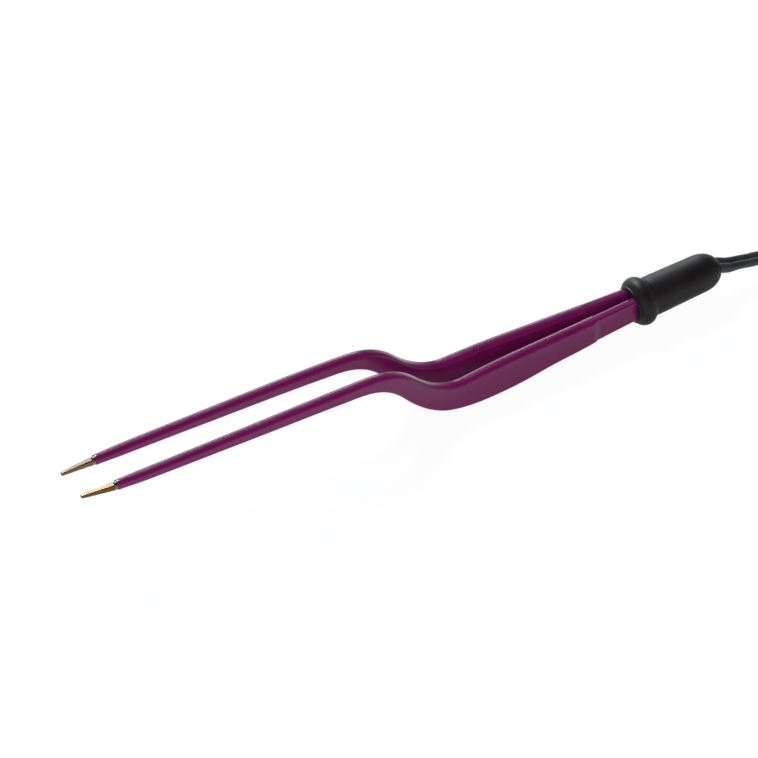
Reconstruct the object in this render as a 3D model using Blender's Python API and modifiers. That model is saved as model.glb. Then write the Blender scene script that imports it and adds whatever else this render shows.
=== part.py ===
"""Bayonet bipolar forceps: two coated spring arms held in a rubber boot, with a twin lead and its plug.

Metres, +Z up. The tips point to -X and the boot to +X. The forceps rest on Z = 0 on the bellies
of the two arms and on the bead of the boot. The left arm is at -Y and the right arm at +Y.
"""

import math

import bmesh
import bpy
from mathutils import Matrix, Vector

# Lengths along the forceps
OVERALL_LENGTH = 0.220
TIP_LENGTH = 0.0106
NOSE_LENGTH = 0.0009
NECK_LENGTH = 0.0100
SHAFT_LENGTH = 0.0940
BEND_LENGTH = 0.0340
HEEL_LENGTH = 0.0120
HEEL_STEP_LENGTH = 0.0040
BOOT_LENGTH = 0.0310

# The arm's height and depth, seen from the side
SHAFT_TOP_HEIGHT = 0.0255
CREST_DIP = 0.0003
FRONT_DEPTH = 0.0026
NECK_DEPTH = 0.0028
MIDSHAFT_DEPTH = 0.0034
SHAFT_DEPTH = 0.0041
HANDLE_TOP_HEIGHT = 0.0109
TROUGH_DIP = 0.0008
TROUGH_TO_HANDLE = 0.0200
BELLY_BEHIND_TROUGH = 0.0100
BELLY_FRONT_LENGTH = 0.0150
BELLY_FRONT_RISE = 0.0016
BELLY_REAR_LENGTH = 0.0160
BELLY_REAR_RISE = 0.0011
HEEL_DEPTH = 0.0075

# Slopes of the edges, as rise over run
CREST_SLOPE = -0.03
NECK_SLOPE = -0.02
SHAFT_SLOPE = -0.04
BEND_TOP_SLOPE = -1.02
BEND_BOTTOM_SLOPE = -1.18
TROUGH_SLOPE = 0.07
BELLY_FRONT_SLOPE = -0.26
BELLY_REAR_SLOPE = 0.145
HEEL_TOP_SLOPE = 0.02
HEEL_SLOPE = 0.05
STEP_SLOPE = 0.16

# How far the bend's lower edge runs ahead of its upper edge, and the height of each halfway down
BEND_LEAD = 0.0050
CREST_LEAD = 0.0080
BEND_TOP_SHARE = 0.505
BEND_BOTTOM_SHARE = 0.206

# The arm's width, seen from above
FRONT_WIDTH = 0.0025
NECK_WIDTH = 0.0031
SHAFT_WIDTH = 0.0034
HANDLE_WIDTH = 0.00375
HEEL_WIDTH = 0.0028
SHAFT_ROUNDING = 0.0008
HANDLE_ROUNDING = 0.0010
HEEL_ROUNDING = 0.0009

# The distance between the centre lines of the two arms, and how it changes along X on each side
TIP_SPREAD = 0.0114
FRONT_SPREAD = 0.01275
WIDEST_SPREAD = 0.0130
BEND_SPREAD = 0.0116
HANDLE_SPREAD = 0.00855
HEEL_SPREAD = 0.0041
TIP_TOE = 0.060
FRONT_TOE = 0.020
BEND_TOE = -0.027
HANDLE_TOE = -0.048
HEEL_TOE = -0.052

# The plated tip: its upper edge runs on from the shaft's, so its end stands higher than its root
TIP_SIZE = 0.0010
TIP_ROOT_SIZE = 0.00196
TIP_LIFT = 0.0004
TIP_ROUNDING = 0.0004
TIP_EDGE_SHARE = 0.3

# The coat, the blade inside it and the tang behind it
COAT_WALL = 0.0002
COAT_FIT = 0.00006
COAT_INTO_BOOT = 0.0050
TANG_THICKNESS = 0.0012
TANG_HEIGHT = 0.0050
TANG_SPACING = 0.0040
TANG_LENGTH = 0.0120
TIP_JOINT_GAP = 0.00002

# The boot
BOOT_TILT = math.radians(3.3)
BEAD_RADIUS = 0.00752
BEAD_LENGTH = 0.0058
BOOT_FRONT_RADIUS = 0.00609
BOOT_REAR_RADIUS = 0.00579
DOME_LENGTH = 0.0078
MOUTH_BORE_RADIUS = 0.0054
MOUTH_BORE_LENGTH = 0.0068
BORE_RADIUS = 0.0049
BORE_LENGTH = 0.0250
BORE_STEP_LENGTH = 0.0005
MOUTH_ROUNDING = 0.0004
BEAD_FULLNESS = 0.9
NECK_FILLET = 0.0006

# The spacer block in the boot
SPACER_FIT = 0.0003
SPACER_LENGTH = 0.0090
SPACER_BEHIND_MOUTH = 0.0075
TONGUE_THICKNESS = 0.0009
TONGUE_HEIGHT = 0.0072
TONGUE_BEHIND_MOUTH = 0.0012
SLOT_CLEARANCE = 0.0004

# The terminals and the stripped ends of the lead
TERMINAL_RADIUS = 0.0012
TERMINAL_BORE_RADIUS = 0.0008
TERMINAL_LENGTH = 0.0045
TERMINAL_BORE_LENGTH = 0.0030
STRAND_RADIUS = 0.0005
SEAT_GAP = 0.0001

# The twin lead
CORE_RADIUS = 0.00128
CORE_SPACING = 0.00254
WEB_HALF_THICKNESS = 0.0005
CORD_FIT = 0.00015
CORD_GAP = 0.0003
CORD_STEP = 0.0050

# The rest of the lead, folded into a hank with a tie round it
HANK_LENGTH = 0.1220
HANK_WIDTH = 0.0440
HANK_HEIGHT = 0.0206
HANK_BEHIND_BOOT = 0.0450
TIE_WIDTH = 0.0120
TIE_THICKNESS = 0.0008

# The plug
PLUG_LENGTH = 0.0240
PLUG_WIDTH = 0.0380
PLUG_NECK_WIDTH = 0.0130
PLUG_THICKNESS = 0.0130
PLUG_SHOULDER_LENGTH = 0.0110
PLUG_ROUNDING = 0.0020
PIN_SPACING = 0.0285
PIN_RADIUS = 0.0020
PIN_LENGTH = 0.0170
PIN_DEPTH = 0.0090
PIN_FIT = 0.0001
INSERT_WIDTH = 0.0346
INSERT_HEIGHT = 0.0080
INSERT_DEPTH = 0.0030
RELIEF_LENGTH = 0.0150
RELIEF_FRONT_RADIUS = 0.0034
RELIEF_REAR_RADIUS = 0.0046
RELIEF_SEAT_LENGTH = 0.0040
RELIEF_BORE_LENGTH = 0.0090
HANK_TO_PLUG = 0.0200

# Where these sizes put the landmarks along X
X_TIP = -OVERALL_LENGTH / 2
X_END = OVERALL_LENGTH / 2
X_NOSE = X_TIP + TIP_LENGTH
X_FRONT = X_NOSE + NOSE_LENGTH
X_NECK = X_FRONT + NECK_LENGTH
X_CREST = X_TIP + SHAFT_LENGTH
X_MIDSHAFT = (X_FRONT + X_CREST) / 2
X_TROUGH = X_CREST + BEND_LENGTH
X_MIDDLE = (X_CREST + X_TROUGH) / 2
X_HANDLE = X_TROUGH + TROUGH_TO_HANDLE
X_BELLY = X_TROUGH + BELLY_BEHIND_TROUGH
X_MOUTH = X_END - BOOT_LENGTH
X_HEEL = X_MOUTH - HEEL_LENGTH
X_STEP_START = X_HEEL - HEEL_STEP_LENGTH / 2
X_STEP_END = X_HEEL + HEEL_STEP_LENGTH / 2
X_COAT_END = X_MOUTH + COAT_INTO_BOOT
X_TANG_END = X_COAT_END + TANG_LENGTH
X_BORE_END = X_MOUTH + BORE_LENGTH
AXIS_SLOPE = math.tan(BOOT_TILT)
BEAD_X = X_MOUTH + BEAD_LENGTH / 2


def axis_height(x):
    """Height of the boot's axis at x: its bead stands on Z = 0."""
    return BEAD_RADIUS / math.cos(BOOT_TILT) + (x - BEAD_X) * AXIS_SLOPE


HEEL_CENTRE = axis_height(X_COAT_END)
BEND_DROP = SHAFT_TOP_HEIGHT - HANDLE_TOP_HEIGHT

STEP_HEIGHT = HEEL_CENTRE - HEEL_DEPTH / 2 - HEEL_SLOPE * (X_COAT_END - X_STEP_END)

# The two edges of an arm seen from the side, as (x, height, slope)
TOP_EDGE = (
    (X_FRONT, SHAFT_TOP_HEIGHT, 0.0),
    (X_MIDSHAFT, SHAFT_TOP_HEIGHT, 0.0),
    (X_CREST, SHAFT_TOP_HEIGHT - CREST_DIP, CREST_SLOPE),
    (X_MIDDLE, HANDLE_TOP_HEIGHT + BEND_TOP_SHARE * BEND_DROP, BEND_TOP_SLOPE),
    (X_TROUGH, HANDLE_TOP_HEIGHT - TROUGH_DIP, TROUGH_SLOPE),
    (X_HANDLE, HANDLE_TOP_HEIGHT, 0.0),
    (X_COAT_END, HEEL_CENTRE + HEEL_DEPTH / 2, HEEL_TOP_SLOPE),
)
BOTTOM_EDGE = (
    (X_FRONT, SHAFT_TOP_HEIGHT - FRONT_DEPTH, 0.0),
    (X_NECK, SHAFT_TOP_HEIGHT - NECK_DEPTH, NECK_SLOPE),
    (X_MIDSHAFT, SHAFT_TOP_HEIGHT - MIDSHAFT_DEPTH, NECK_SLOPE),
    (X_CREST - CREST_LEAD, SHAFT_TOP_HEIGHT - SHAFT_DEPTH, SHAFT_SLOPE),
    (X_MIDDLE - BEND_LEAD, HANDLE_TOP_HEIGHT + BEND_BOTTOM_SHARE * BEND_DROP, BEND_BOTTOM_SLOPE),
    (X_BELLY - BELLY_FRONT_LENGTH, BELLY_FRONT_RISE, BELLY_FRONT_SLOPE),
    (X_BELLY, 0.0, 0.0),
    (X_BELLY + BELLY_REAR_LENGTH, BELLY_REAR_RISE, BELLY_REAR_SLOPE),
    (X_STEP_START, STEP_HEIGHT, STEP_SLOPE),
    (X_STEP_END, STEP_HEIGHT, HEEL_SLOPE),
    (X_COAT_END, HEEL_CENTRE - HEEL_DEPTH / 2, HEEL_SLOPE),
)
# Half the distance between the arms' centre lines seen from above, as (x, distance, slope)
PLAN_LINE = (
    (X_TIP, TIP_SPREAD / 2, TIP_TOE),
    (X_FRONT, FRONT_SPREAD / 2, FRONT_TOE),
    (X_MIDSHAFT, WIDEST_SPREAD / 2, 0.0),
    (X_MIDDLE, BEND_SPREAD / 2, BEND_TOE),
    (X_HANDLE, HANDLE_SPREAD / 2, HANDLE_TOE),
    (X_COAT_END, HEEL_SPREAD / 2, HEEL_TOE),
)
WIDTHS = (
    (X_FRONT, FRONT_WIDTH, (NECK_WIDTH - FRONT_WIDTH) / NECK_LENGTH),
    (X_NECK, NECK_WIDTH, 0.0),
    (X_CREST, SHAFT_WIDTH, 0.0),
    (X_BELLY, HANDLE_WIDTH, 0.0),
    (X_STEP_START, HANDLE_WIDTH, 0.0),
    (X_STEP_END, HEEL_WIDTH, 0.0),
    (X_COAT_END, HEEL_WIDTH, 0.0),
)
ROUNDINGS = (
    (X_FRONT, SHAFT_ROUNDING, 0.0),
    (X_CREST, SHAFT_ROUNDING, 0.0),
    (X_BELLY, HANDLE_ROUNDING, 0.0),
    (X_STEP_START, HANDLE_ROUNDING, 0.0),
    (X_STEP_END, HEEL_ROUNDING, 0.0),
    (X_COAT_END, HEEL_ROUNDING, 0.0),
)

# The lead's route from inside the boot to the hank, and from the hank to the plug, chosen by hand
HANK_X = X_END + HANK_BEHIND_BOOT
HANK_BOTTOM = TIE_THICKNESS + CORD_GAP
PLUG_X = HANK_X + HANK_LENGTH + HANK_TO_PLUG
LEAD_ROUTE = (
    (X_END - 0.0035, 0.0, axis_height(X_END - 0.0035)),
    (X_END - 0.0005, 0.0, axis_height(X_END - 0.0005)),
    (X_END + 0.0026, -0.0002, 0.0084),
    (X_END + 0.0066, -0.0005, 0.0078),
    (X_END + 0.0107, -0.0009, 0.0072),
    (X_END + 0.0140, -0.0013, 0.0069),
    (X_END + 0.0220, -0.0035, 0.0056),
    (X_END + 0.0300, -0.0080, 0.0039),
    (X_END + 0.0375, -0.0130, 0.0030),
    (X_END + 0.0445, -0.0168, 0.0032),
    (HANK_X + HANK_WIDTH / 2 - 0.0155, -HANK_WIDTH / 2 + 0.0029, 0.0036),
)
TAIL_ROUTE = (
    (HANK_X + HANK_LENGTH - HANK_WIDTH / 2 + 0.0155, HANK_WIDTH / 2 - 0.0028, 0.0085),
    (HANK_X + HANK_LENGTH, 0.0170, 0.0078),
    (HANK_X + HANK_LENGTH + 0.0060, 0.0118, 0.0070),
    (HANK_X + HANK_LENGTH + 0.0130, 0.0045, 0.0065),
    (HANK_X + HANK_LENGTH + 0.0190, 0.0004, 0.0065),
    (PLUG_X + 0.0060, 0.0, 0.0065),
)

SIDES = {"left": -1, "right": 1}
ON_AXIS = 1e-9


def clear_scene():
    for obj in list(bpy.data.objects):
        bpy.data.objects.remove(obj, do_unlink=True)


def new_collection(name):
    collection = bpy.data.collections.new(name)
    bpy.context.scene.collection.children.link(collection)
    return collection


def material(name, colour, roughness, metallic):
    made = bpy.data.materials.new(name)
    made.use_nodes = True
    shader = made.node_tree.nodes["Principled BSDF"]
    shader.inputs["Base Color"].default_value = (*colour, 1.0)
    shader.inputs["Roughness"].default_value = roughness
    shader.inputs["Metallic"].default_value = metallic
    return made


def add_object(name, mesh, collection, finish=None, parent=None):
    """A new object for a mesh in world coordinates; under a parent it keeps its place."""
    obj = bpy.data.objects.new(name, mesh)
    collection.objects.link(obj)
    if finish is not None:
        mesh.materials.append(finish)
    if parent is not None:
        obj.parent = parent
        obj.matrix_parent_inverse = Matrix.Translation(-parent.location)
    return obj


def mesh_from(bm, name, smooth_angle=40):
    bmesh.ops.recalc_face_normals(bm, faces=bm.faces)
    mesh = bpy.data.meshes.new(name)
    bm.to_mesh(mesh)
    bm.free()
    mesh.shade_smooth()
    mesh.set_sharp_from_angle(angle=math.radians(smooth_angle))
    return mesh


def value_at(knots, x):
    """Height of a smooth curve through knots of (x, height, slope)."""
    if x <= knots[0][0]:
        return knots[0][1] + knots[0][2] * (x - knots[0][0])
    for (x0, h0, s0), (x1, h1, s1) in zip(knots, knots[1:]):
        if x <= x1:
            break
    span = x1 - x0
    t = min((x - x0) / span, 1.0)
    start = (2 * t**3 - 3 * t**2 + 1) * h0 + (t**3 - 2 * t**2 + t) * span * s0
    return start + (3 * t**2 - 2 * t**3) * h1 + (t**3 - t**2) * span * s1


def rounded_section(x, y, z, width, height, rounding, corner_points):
    """A ring of points: a rectangle across X with round corners, centred on (y, z)."""
    radius = min(rounding, 0.48 * width, 0.48 * height)
    ring = []
    for corner in range(4):
        y_side = (1, -1, -1, 1)[corner]
        z_side = (1, 1, -1, -1)[corner]
        for step in range(corner_points):
            angle = math.pi / 2 * (corner + step / (corner_points - 1))
            ring.append(
                Vector((
                    x,
                    y + y_side * (width / 2 - radius) + radius * math.cos(angle),
                    z + z_side * (height / 2 - radius) + radius * math.sin(angle),
                ))
            )
    return ring


def loft(name, rings):
    """A closed solid through rings of as many points each."""
    bm = bmesh.new()
    rows = [[bm.verts.new(point) for point in ring] for ring in rings]
    count = len(rows[0])
    for near, far in zip(rows, rows[1:]):
        for i in range(count):
            j = (i + 1) % count
            bm.faces.new((near[i], near[j], far[j], far[i]))
    bm.faces.new(rows[0])
    bm.faces.new(rows[-1])
    return mesh_from(bm, name)


def spread(first, last, count):
    return [first + (last - first) * i / count for i in range(count)]


def arm_stations():
    """Places along X for the arm's sections, closest together in the bend and at the heel."""
    return (
        spread(X_FRONT, X_NECK, 4)
        + spread(X_NECK, X_CREST - CREST_LEAD, 5)
        + spread(X_CREST - CREST_LEAD, X_BELLY, 20)
        + spread(X_BELLY, X_STEP_START, 7)
        + spread(X_STEP_START, X_STEP_END, 4)
        + spread(X_STEP_END, X_COAT_END, 2)
        + [X_COAT_END]
    )


def arm_section(x, side, inset, corner_points):
    """The arm's section at x, smaller by inset all round."""
    top = value_at(TOP_EDGE, x)
    bottom = value_at(BOTTOM_EDGE, x)
    width = value_at(WIDTHS, x)
    rounding = value_at(ROUNDINGS, x)
    return rounded_section(
        x,
        side * value_at(PLAN_LINE, x),
        (top + bottom) / 2,
        width - 2 * inset,
        top - bottom - 2 * inset,
        rounding - inset,
        corner_points,
    )


def build_coat(word, side, parent, parts, cutters, finish):
    rings = [arm_section(x, side, 0.0, 4) for x in arm_stations()]
    coat = add_object(f"insulation_{word}", loft(f"insulation_{word}", rings), parts, finish, parent)
    stations = arm_stations()
    overrun = 0.001
    bore = [arm_section(x, side, COAT_WALL, 2) for x in stations]
    front = [point + Vector((-overrun, 0, 0)) for point in bore[0]]
    rear = [point + Vector((overrun, 0, 0)) for point in bore[-1]]
    cutter = add_object(f"bore_{word}", loft(f"bore_{word}", [front, *bore, rear]), cutters)
    cut(coat, cutter)
    return coat


def build_blade(word, side, parent, parts, finish):
    """The spring blade: it fills the coat and ends in a flat tang."""
    inset = COAT_WALL + COAT_FIT
    body = [arm_section(x, side, inset, 2) for x in arm_stations()]
    nose = [point + Vector((X_NOSE - X_FRONT, 0, 0)) for point in body[0]]
    tang = []
    for x in (X_COAT_END + 0.0006, X_TANG_END):
        tang.append(
            rounded_section(
                x,
                side * TANG_SPACING / 2,
                axis_height(x),
                TANG_THICKNESS,
                TANG_HEIGHT,
                0.0003,
                2,
            )
        )
    mesh = loft(f"blade_{word}", [nose, *body, *tang])
    return add_object(f"blade_{word}", mesh, parts, finish, parent)


def build_tip(word, side, parent, parts, finish):
    """The plated tip, a straight taper with a rounded end and its upper edge in line with the shaft's."""
    root_z = SHAFT_TOP_HEIGHT - FRONT_DEPTH / 2
    rings = []
    for x, share in (
        (X_TIP, 0.50),
        (X_TIP + TIP_ROUNDING / 4, 0.78),
        (X_TIP + TIP_ROUNDING, 1.0),
        (X_TIP + TIP_LENGTH / 3, 1.0),
        (X_TIP + TIP_LENGTH * 2 / 3, 1.0),
        (X_NOSE - TIP_JOINT_GAP, 1.0),
    ):
        along = (x - X_TIP) / TIP_LENGTH
        size = share * (TIP_SIZE + (TIP_ROOT_SIZE - TIP_SIZE) * along)
        y = side * value_at(PLAN_LINE, x)
        z = root_z + TIP_LIFT * (1 - along)
        rings.append(rounded_section(x, y, z, size, size, TIP_EDGE_SHARE * size, 4))
    return add_object(f"tip_{word}", loft(f"tip_{word}", rings), parts, finish, parent)


def cut(obj, cutter):
    cutter.hide_render = True
    cutter.display_type = "WIRE"
    boolean = obj.modifiers.new(f"cut by {cutter.name}", "BOOLEAN")
    boolean.operation = "DIFFERENCE"
    boolean.object = cutter


def turned(name, profile, collection, finish, steps=40, matrix=None):
    """A solid turned from (radius, height) points, from the top of the outer side round to the bore."""
    bm = bmesh.new()
    points = [bm.verts.new((radius, 0, height)) for radius, height in profile]
    for a, b in zip(points, points[1:]):
        bm.edges.new((a, b))
    if profile[0][0] > ON_AXIS:
        bm.edges.new((points[-1], points[0]))
    mesh = bpy.data.meshes.new(name)
    bm.to_mesh(mesh)
    bm.free()
    obj = add_object(name, mesh, collection, finish)
    screw = obj.modifiers.new("turn", "SCREW")
    screw.axis = "Z"
    screw.angle = 2 * math.pi
    screw.steps = steps
    screw.render_steps = steps
    screw.use_merge_vertices = True
    screw.merge_threshold = 1e-6
    screw.use_smooth_shade = True
    if matrix is not None:
        obj.matrix_world = matrix
    return obj


def boot_frame(x):
    """A frame on the boot's axis at x whose Z axis points along the boot, to the lead."""
    along = Vector((math.cos(BOOT_TILT), 0, math.sin(BOOT_TILT)))
    across = Vector((0, 1, 0))
    turn = Matrix((across, along.cross(across), along)).transposed()
    return Matrix.Translation((x, 0, axis_height(x))) @ turn.to_4x4()


def arc(centre, radius_r, radius_z, start, end, count):
    """Points of (radius, height) on an arc, with angles in degrees from the radius direction."""
    points = []
    for i in range(count + 1):
        angle = math.radians(start + (end - start) * i / count)
        points.append((centre[0] + radius_r * math.cos(angle), centre[1] + radius_z * math.sin(angle)))
    return points


def boot_profile():
    """The boot's outer side from the dome's end down to the mouth, then back up its bore."""
    length = BOOT_LENGTH / math.cos(BOOT_TILT)
    half_bead = BEAD_LENGTH / 2
    bulge = half_bead * BEAD_FULLNESS
    bead_core = BEAD_RADIUS - bulge
    lip_radius = MOUTH_BORE_RADIUS + MOUTH_ROUNDING
    lip_angle = math.acos((lip_radius - bead_core) / bulge)
    lip_height = half_bead * (1 - math.sin(lip_angle))
    dome_start = length - DOME_LENGTH
    dome = arc((0.0, dome_start), BOOT_REAR_RADIUS, DOME_LENGTH, 90, 0, 9)
    dome[0] = (0.0, length)
    neck = [(BOOT_FRONT_RADIUS, BEAD_LENGTH + NECK_FILLET)]
    bead = arc((bead_core, half_bead), bulge, half_bead, 52, -math.degrees(lip_angle), 10)
    mouth = arc((lip_radius, lip_height + MOUTH_ROUNDING), MOUTH_ROUNDING, MOUTH_ROUNDING, -135, -180, 2)
    step = [(MOUTH_BORE_RADIUS, MOUTH_BORE_LENGTH), (BORE_RADIUS, MOUTH_BORE_LENGTH + BORE_STEP_LENGTH)]
    bore = [(BORE_RADIUS, BORE_LENGTH), (0.0, BORE_LENGTH)]
    return dome + neck + bead + mouth + step + bore


def twin_outline(grow=0.0, arc_points=7):
    """The twin lead's section: two round cores joined by a web."""
    radius = CORE_RADIUS + grow
    web = WEB_HALF_THICKNESS + grow
    apart = 0.98 * CORE_SPACING / 2
    start = max(math.asin(web / radius), math.acos(min(1.0, apart / radius)))
    points = []
    for side in (1, -1):
        for i in range(arc_points):
            turn = start + (2 * math.pi - 2 * start) * i / (arc_points - 1)
            angle = math.pi + turn if side > 0 else turn
            points.append((side * CORE_SPACING / 2 + radius * math.cos(angle), radius * math.sin(angle)))
    return points


def prism(name, outline, matrix, length):
    """A closed prism on a flat outline, from the frame's origin along its Z axis."""
    rings = []
    for height in (0.0, length):
        rings.append([matrix @ Vector((u, v, height)) for u, v in outline])
    return loft(name, rings)


def build_boot(parts, cutters, finish):
    boot = turned("boot", boot_profile(), parts, finish, 44, boot_frame(X_MOUTH))
    hole = prism(
        "lead_hole",
        twin_outline(CORD_FIT),
        boot_frame(X_BORE_END - 0.002),
        BOOT_LENGTH - BORE_LENGTH + 0.006,
    )
    cut(boot, add_object("lead_hole", hole, cutters))
    return boot


def box(name, low, high, matrix, collection, finish=None):
    """A box between two corners of a frame."""
    bm = bmesh.new()
    bmesh.ops.create_cube(bm, size=1.0)
    size = Vector(high) - Vector(low)
    bmesh.ops.scale(bm, vec=size, verts=bm.verts)
    bmesh.ops.translate(bm, vec=(Vector(high) + Vector(low)) / 2, verts=bm.verts)
    bmesh.ops.transform(bm, matrix=matrix, verts=bm.verts)
    return add_object(name, mesh_from(bm, name), collection, finish)


def build_spacer(parts, cutters, finish):
    """A round block with a tongue between the arms and a slot for each tang."""
    radius = BORE_RADIUS - SPACER_FIT
    chamfer = 0.0004
    profile = [
        (0.0, SPACER_LENGTH),
        (radius - chamfer, SPACER_LENGTH),
        (radius, SPACER_LENGTH - chamfer),
        (radius, chamfer),
        (radius - chamfer, 0.0),
        (0.0, 0.0),
    ]
    frame = boot_frame(X_MOUTH + SPACER_BEHIND_MOUTH)
    spacer = turned("spacer_block", profile, parts, finish, 32, frame)
    half = (TONGUE_THICKNESS / 2, TONGUE_HEIGHT / 2)
    reach = SPACER_BEHIND_MOUTH - TONGUE_BEHIND_MOUTH
    tongue = box("spacer_tongue", (-half[0], -half[1], -reach), (half[0], half[1], 0.001), frame, cutters)
    tongue.hide_render = True
    tongue.display_type = "WIRE"
    join = spacer.modifiers.new("tongue", "BOOLEAN")
    join.operation = "UNION"
    join.object = tongue
    slot_half = TANG_THICKNESS / 2 + SLOT_CLEARANCE
    for word, side in SIDES.items():
        low = (side * TANG_SPACING / 2 - slot_half, -TANG_HEIGHT / 2 - SPACER_FIT, -0.001)
        high = (side * TANG_SPACING / 2 + slot_half, TANG_HEIGHT / 2 + SPACER_FIT, SPACER_LENGTH + 0.001)
        cut(spacer, box(f"slot_{word}", low, high, frame, cutters))
    return spacer


def build_terminal(word, side, parent, parts, finish):
    """A barrel on the end of the tang, open behind for the strands."""
    profile = [
        (TERMINAL_BORE_RADIUS, TERMINAL_LENGTH),
        (TERMINAL_RADIUS, TERMINAL_LENGTH),
        (TERMINAL_RADIUS, 0.0),
        (0.0, 0.0),
        (0.0, TERMINAL_LENGTH - TERMINAL_BORE_LENGTH),
        (TERMINAL_BORE_RADIUS, TERMINAL_LENGTH - TERMINAL_BORE_LENGTH),
    ]
    frame = boot_frame(X_TANG_END + SEAT_GAP)
    frame.translation.y = side * TANG_SPACING / 2
    terminal = turned(f"terminal_{word}", profile, parts, finish, 16, frame)
    terminal.parent = parent
    terminal.matrix_parent_inverse = Matrix.Translation(-parent.location)
    return terminal


def smooth_route(points, step):
    """Points about a step apart on a smooth curve through the route's own points."""
    route = [Vector(p) for p in points]
    ends = [2 * route[0] - route[1], *route, 2 * route[-1] - route[-2]]
    found = []
    for i in range(1, len(ends) - 2):
        a, b, c, d = ends[i - 1 : i + 3]
        count = max(1, round((c - b).length / step))
        for k in range(count):
            t = k / count
            found.append(
                0.5 * (2 * b + (c - a) * t + (2 * a - 5 * b + 4 * c - d) * t**2 + (3 * b - a - 3 * c + d) * t**3)
            )
    return [*found, route[-1]]


def curve_object(name, points, collection, finish, parent=None):
    data = bpy.data.curves.new(name, "CURVE")
    data.dimensions = "3D"
    data.use_fill_caps = True
    data.twist_mode = "Z_UP"
    spline = data.splines.new("POLY")
    spline.points.add(len(points) - 1)
    for place, point in zip(spline.points, points):
        place.co = (*point, 1.0)
    spline.use_smooth = True
    return add_object(name, data, collection, finish, parent)


def build_strands(word, side, parent, parts, finish):
    """The stripped end of one core, from its terminal to the lead's end."""
    start = X_TANG_END + SEAT_GAP + TERMINAL_LENGTH - TERMINAL_BORE_LENGTH + SEAT_GAP
    end = LEAD_ROUTE[0][0] - CORD_GAP
    tang_y = side * TANG_SPACING / 2
    core_y = side * CORE_SPACING / 2
    rear = X_TANG_END + SEAT_GAP + TERMINAL_LENGTH
    route = [
        (start, tang_y, axis_height(start)),
        (rear, tang_y, axis_height(rear)),
        ((rear + end) / 2, (tang_y + core_y) / 2, axis_height((rear + end) / 2)),
        (end - 0.0006, core_y, axis_height(end - 0.0006)),
        (end, core_y, axis_height(end)),
    ]
    strands = curve_object(f"strands_{word}", smooth_route(route, 0.0012), parts, finish, parent)
    strands.data.bevel_depth = STRAND_RADIUS
    strands.data.bevel_resolution = 2
    return strands


def build_cord(name, route, parts, guide, finish):
    cord = curve_object(name, smooth_route(route, CORD_STEP), parts, finish)
    cord.data.bevel_mode = "OBJECT"
    cord.data.bevel_object = guide
    return cord


def twin_guide(cutters):
    """The flat outline that the lead's curves sweep."""
    data = bpy.data.curves.new("lead_section", "CURVE")
    data.dimensions = "2D"
    outline = twin_outline(arc_points=6)[::-1]
    spline = data.splines.new("POLY")
    spline.points.add(len(outline) - 1)
    for place, (u, v) in zip(spline.points, outline):
        place.co = (u, v, 0.0, 1.0)
    spline.use_cyclic_u = True
    guide = add_object("lead_section", data, cutters)
    guide.hide_render = True
    guide.display_type = "WIRE"
    return guide


def outline_solid(name, points, thickness, centre_z, collection, finish):
    """A flat outline filled on both sides and extruded to its thickness about centre_z."""
    data = bpy.data.curves.new(name, "CURVE")
    data.dimensions = "2D"
    data.fill_mode = "BOTH"
    data.extrude = thickness / 2
    spline = data.splines.new("POLY")
    spline.points.add(len(points) - 1)
    for place, (x, y) in zip(spline.points, points):
        place.co = (x, y, 0.0, 1.0)
    spline.use_cyclic_u = True
    obj = add_object(name, data, collection, finish)
    obj.location.z = centre_z
    return obj


def stadium(x0, length, width, count=12):
    """An outline with two straight sides and round ends."""
    radius = width / 2
    points = []
    for centre, start in ((x0 + length - radius, -90), (x0 + radius, 90)):
        for i in range(count + 1):
            angle = math.radians(start + 180 * i / count)
            points.append((centre + radius * math.cos(angle), radius * math.sin(angle)))
    return points


def build_hank(parts, finish):
    outline = stadium(HANK_X, HANK_LENGTH, HANK_WIDTH)
    return outline_solid("cord_hank", outline, HANK_HEIGHT, HANK_BOTTOM + HANK_HEIGHT / 2, parts, finish)


def build_tie(parts, finish):
    """A flat band round the middle of the hank: a frame of four flat sides with round corners."""
    x = HANK_X + HANK_LENGTH / 2
    z = HANK_BOTTOM + HANK_HEIGHT / 2
    inner = (HANK_WIDTH + 2 * CORD_GAP, HANK_HEIGHT + 2 * CORD_GAP)
    outer = (inner[0] + 2 * TIE_THICKNESS, inner[1] + 2 * TIE_THICKNESS)
    bm = bmesh.new()
    rows = []
    for place in (x - TIE_WIDTH / 2, x + TIE_WIDTH / 2):
        for size, rounding in ((outer, 0.0012), (inner, 0.0004)):
            ring = rounded_section(place, 0.0, z, size[0], size[1], rounding, 4)
            rows.append([bm.verts.new(point) for point in ring])
    count = len(rows[0])
    for near, far in ((0, 2), (2, 3), (3, 1), (1, 0)):
        for i in range(count):
            j = (i + 1) % count
            bm.faces.new((rows[near][i], rows[near][j], rows[far][j], rows[far][i]))
    return add_object("hank_tie", mesh_from(bm, "hank_tie"), parts, finish)


def plug_frame(x, y=0.0):
    """A frame in the plug's middle plane whose Z axis points along X, to the pins."""
    turn = Matrix(((0, 0, 1), (1, 0, 0), (0, 1, 0)))
    return Matrix.Translation((x, y, PLUG_THICKNESS / 2)) @ turn.to_4x4()


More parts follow.
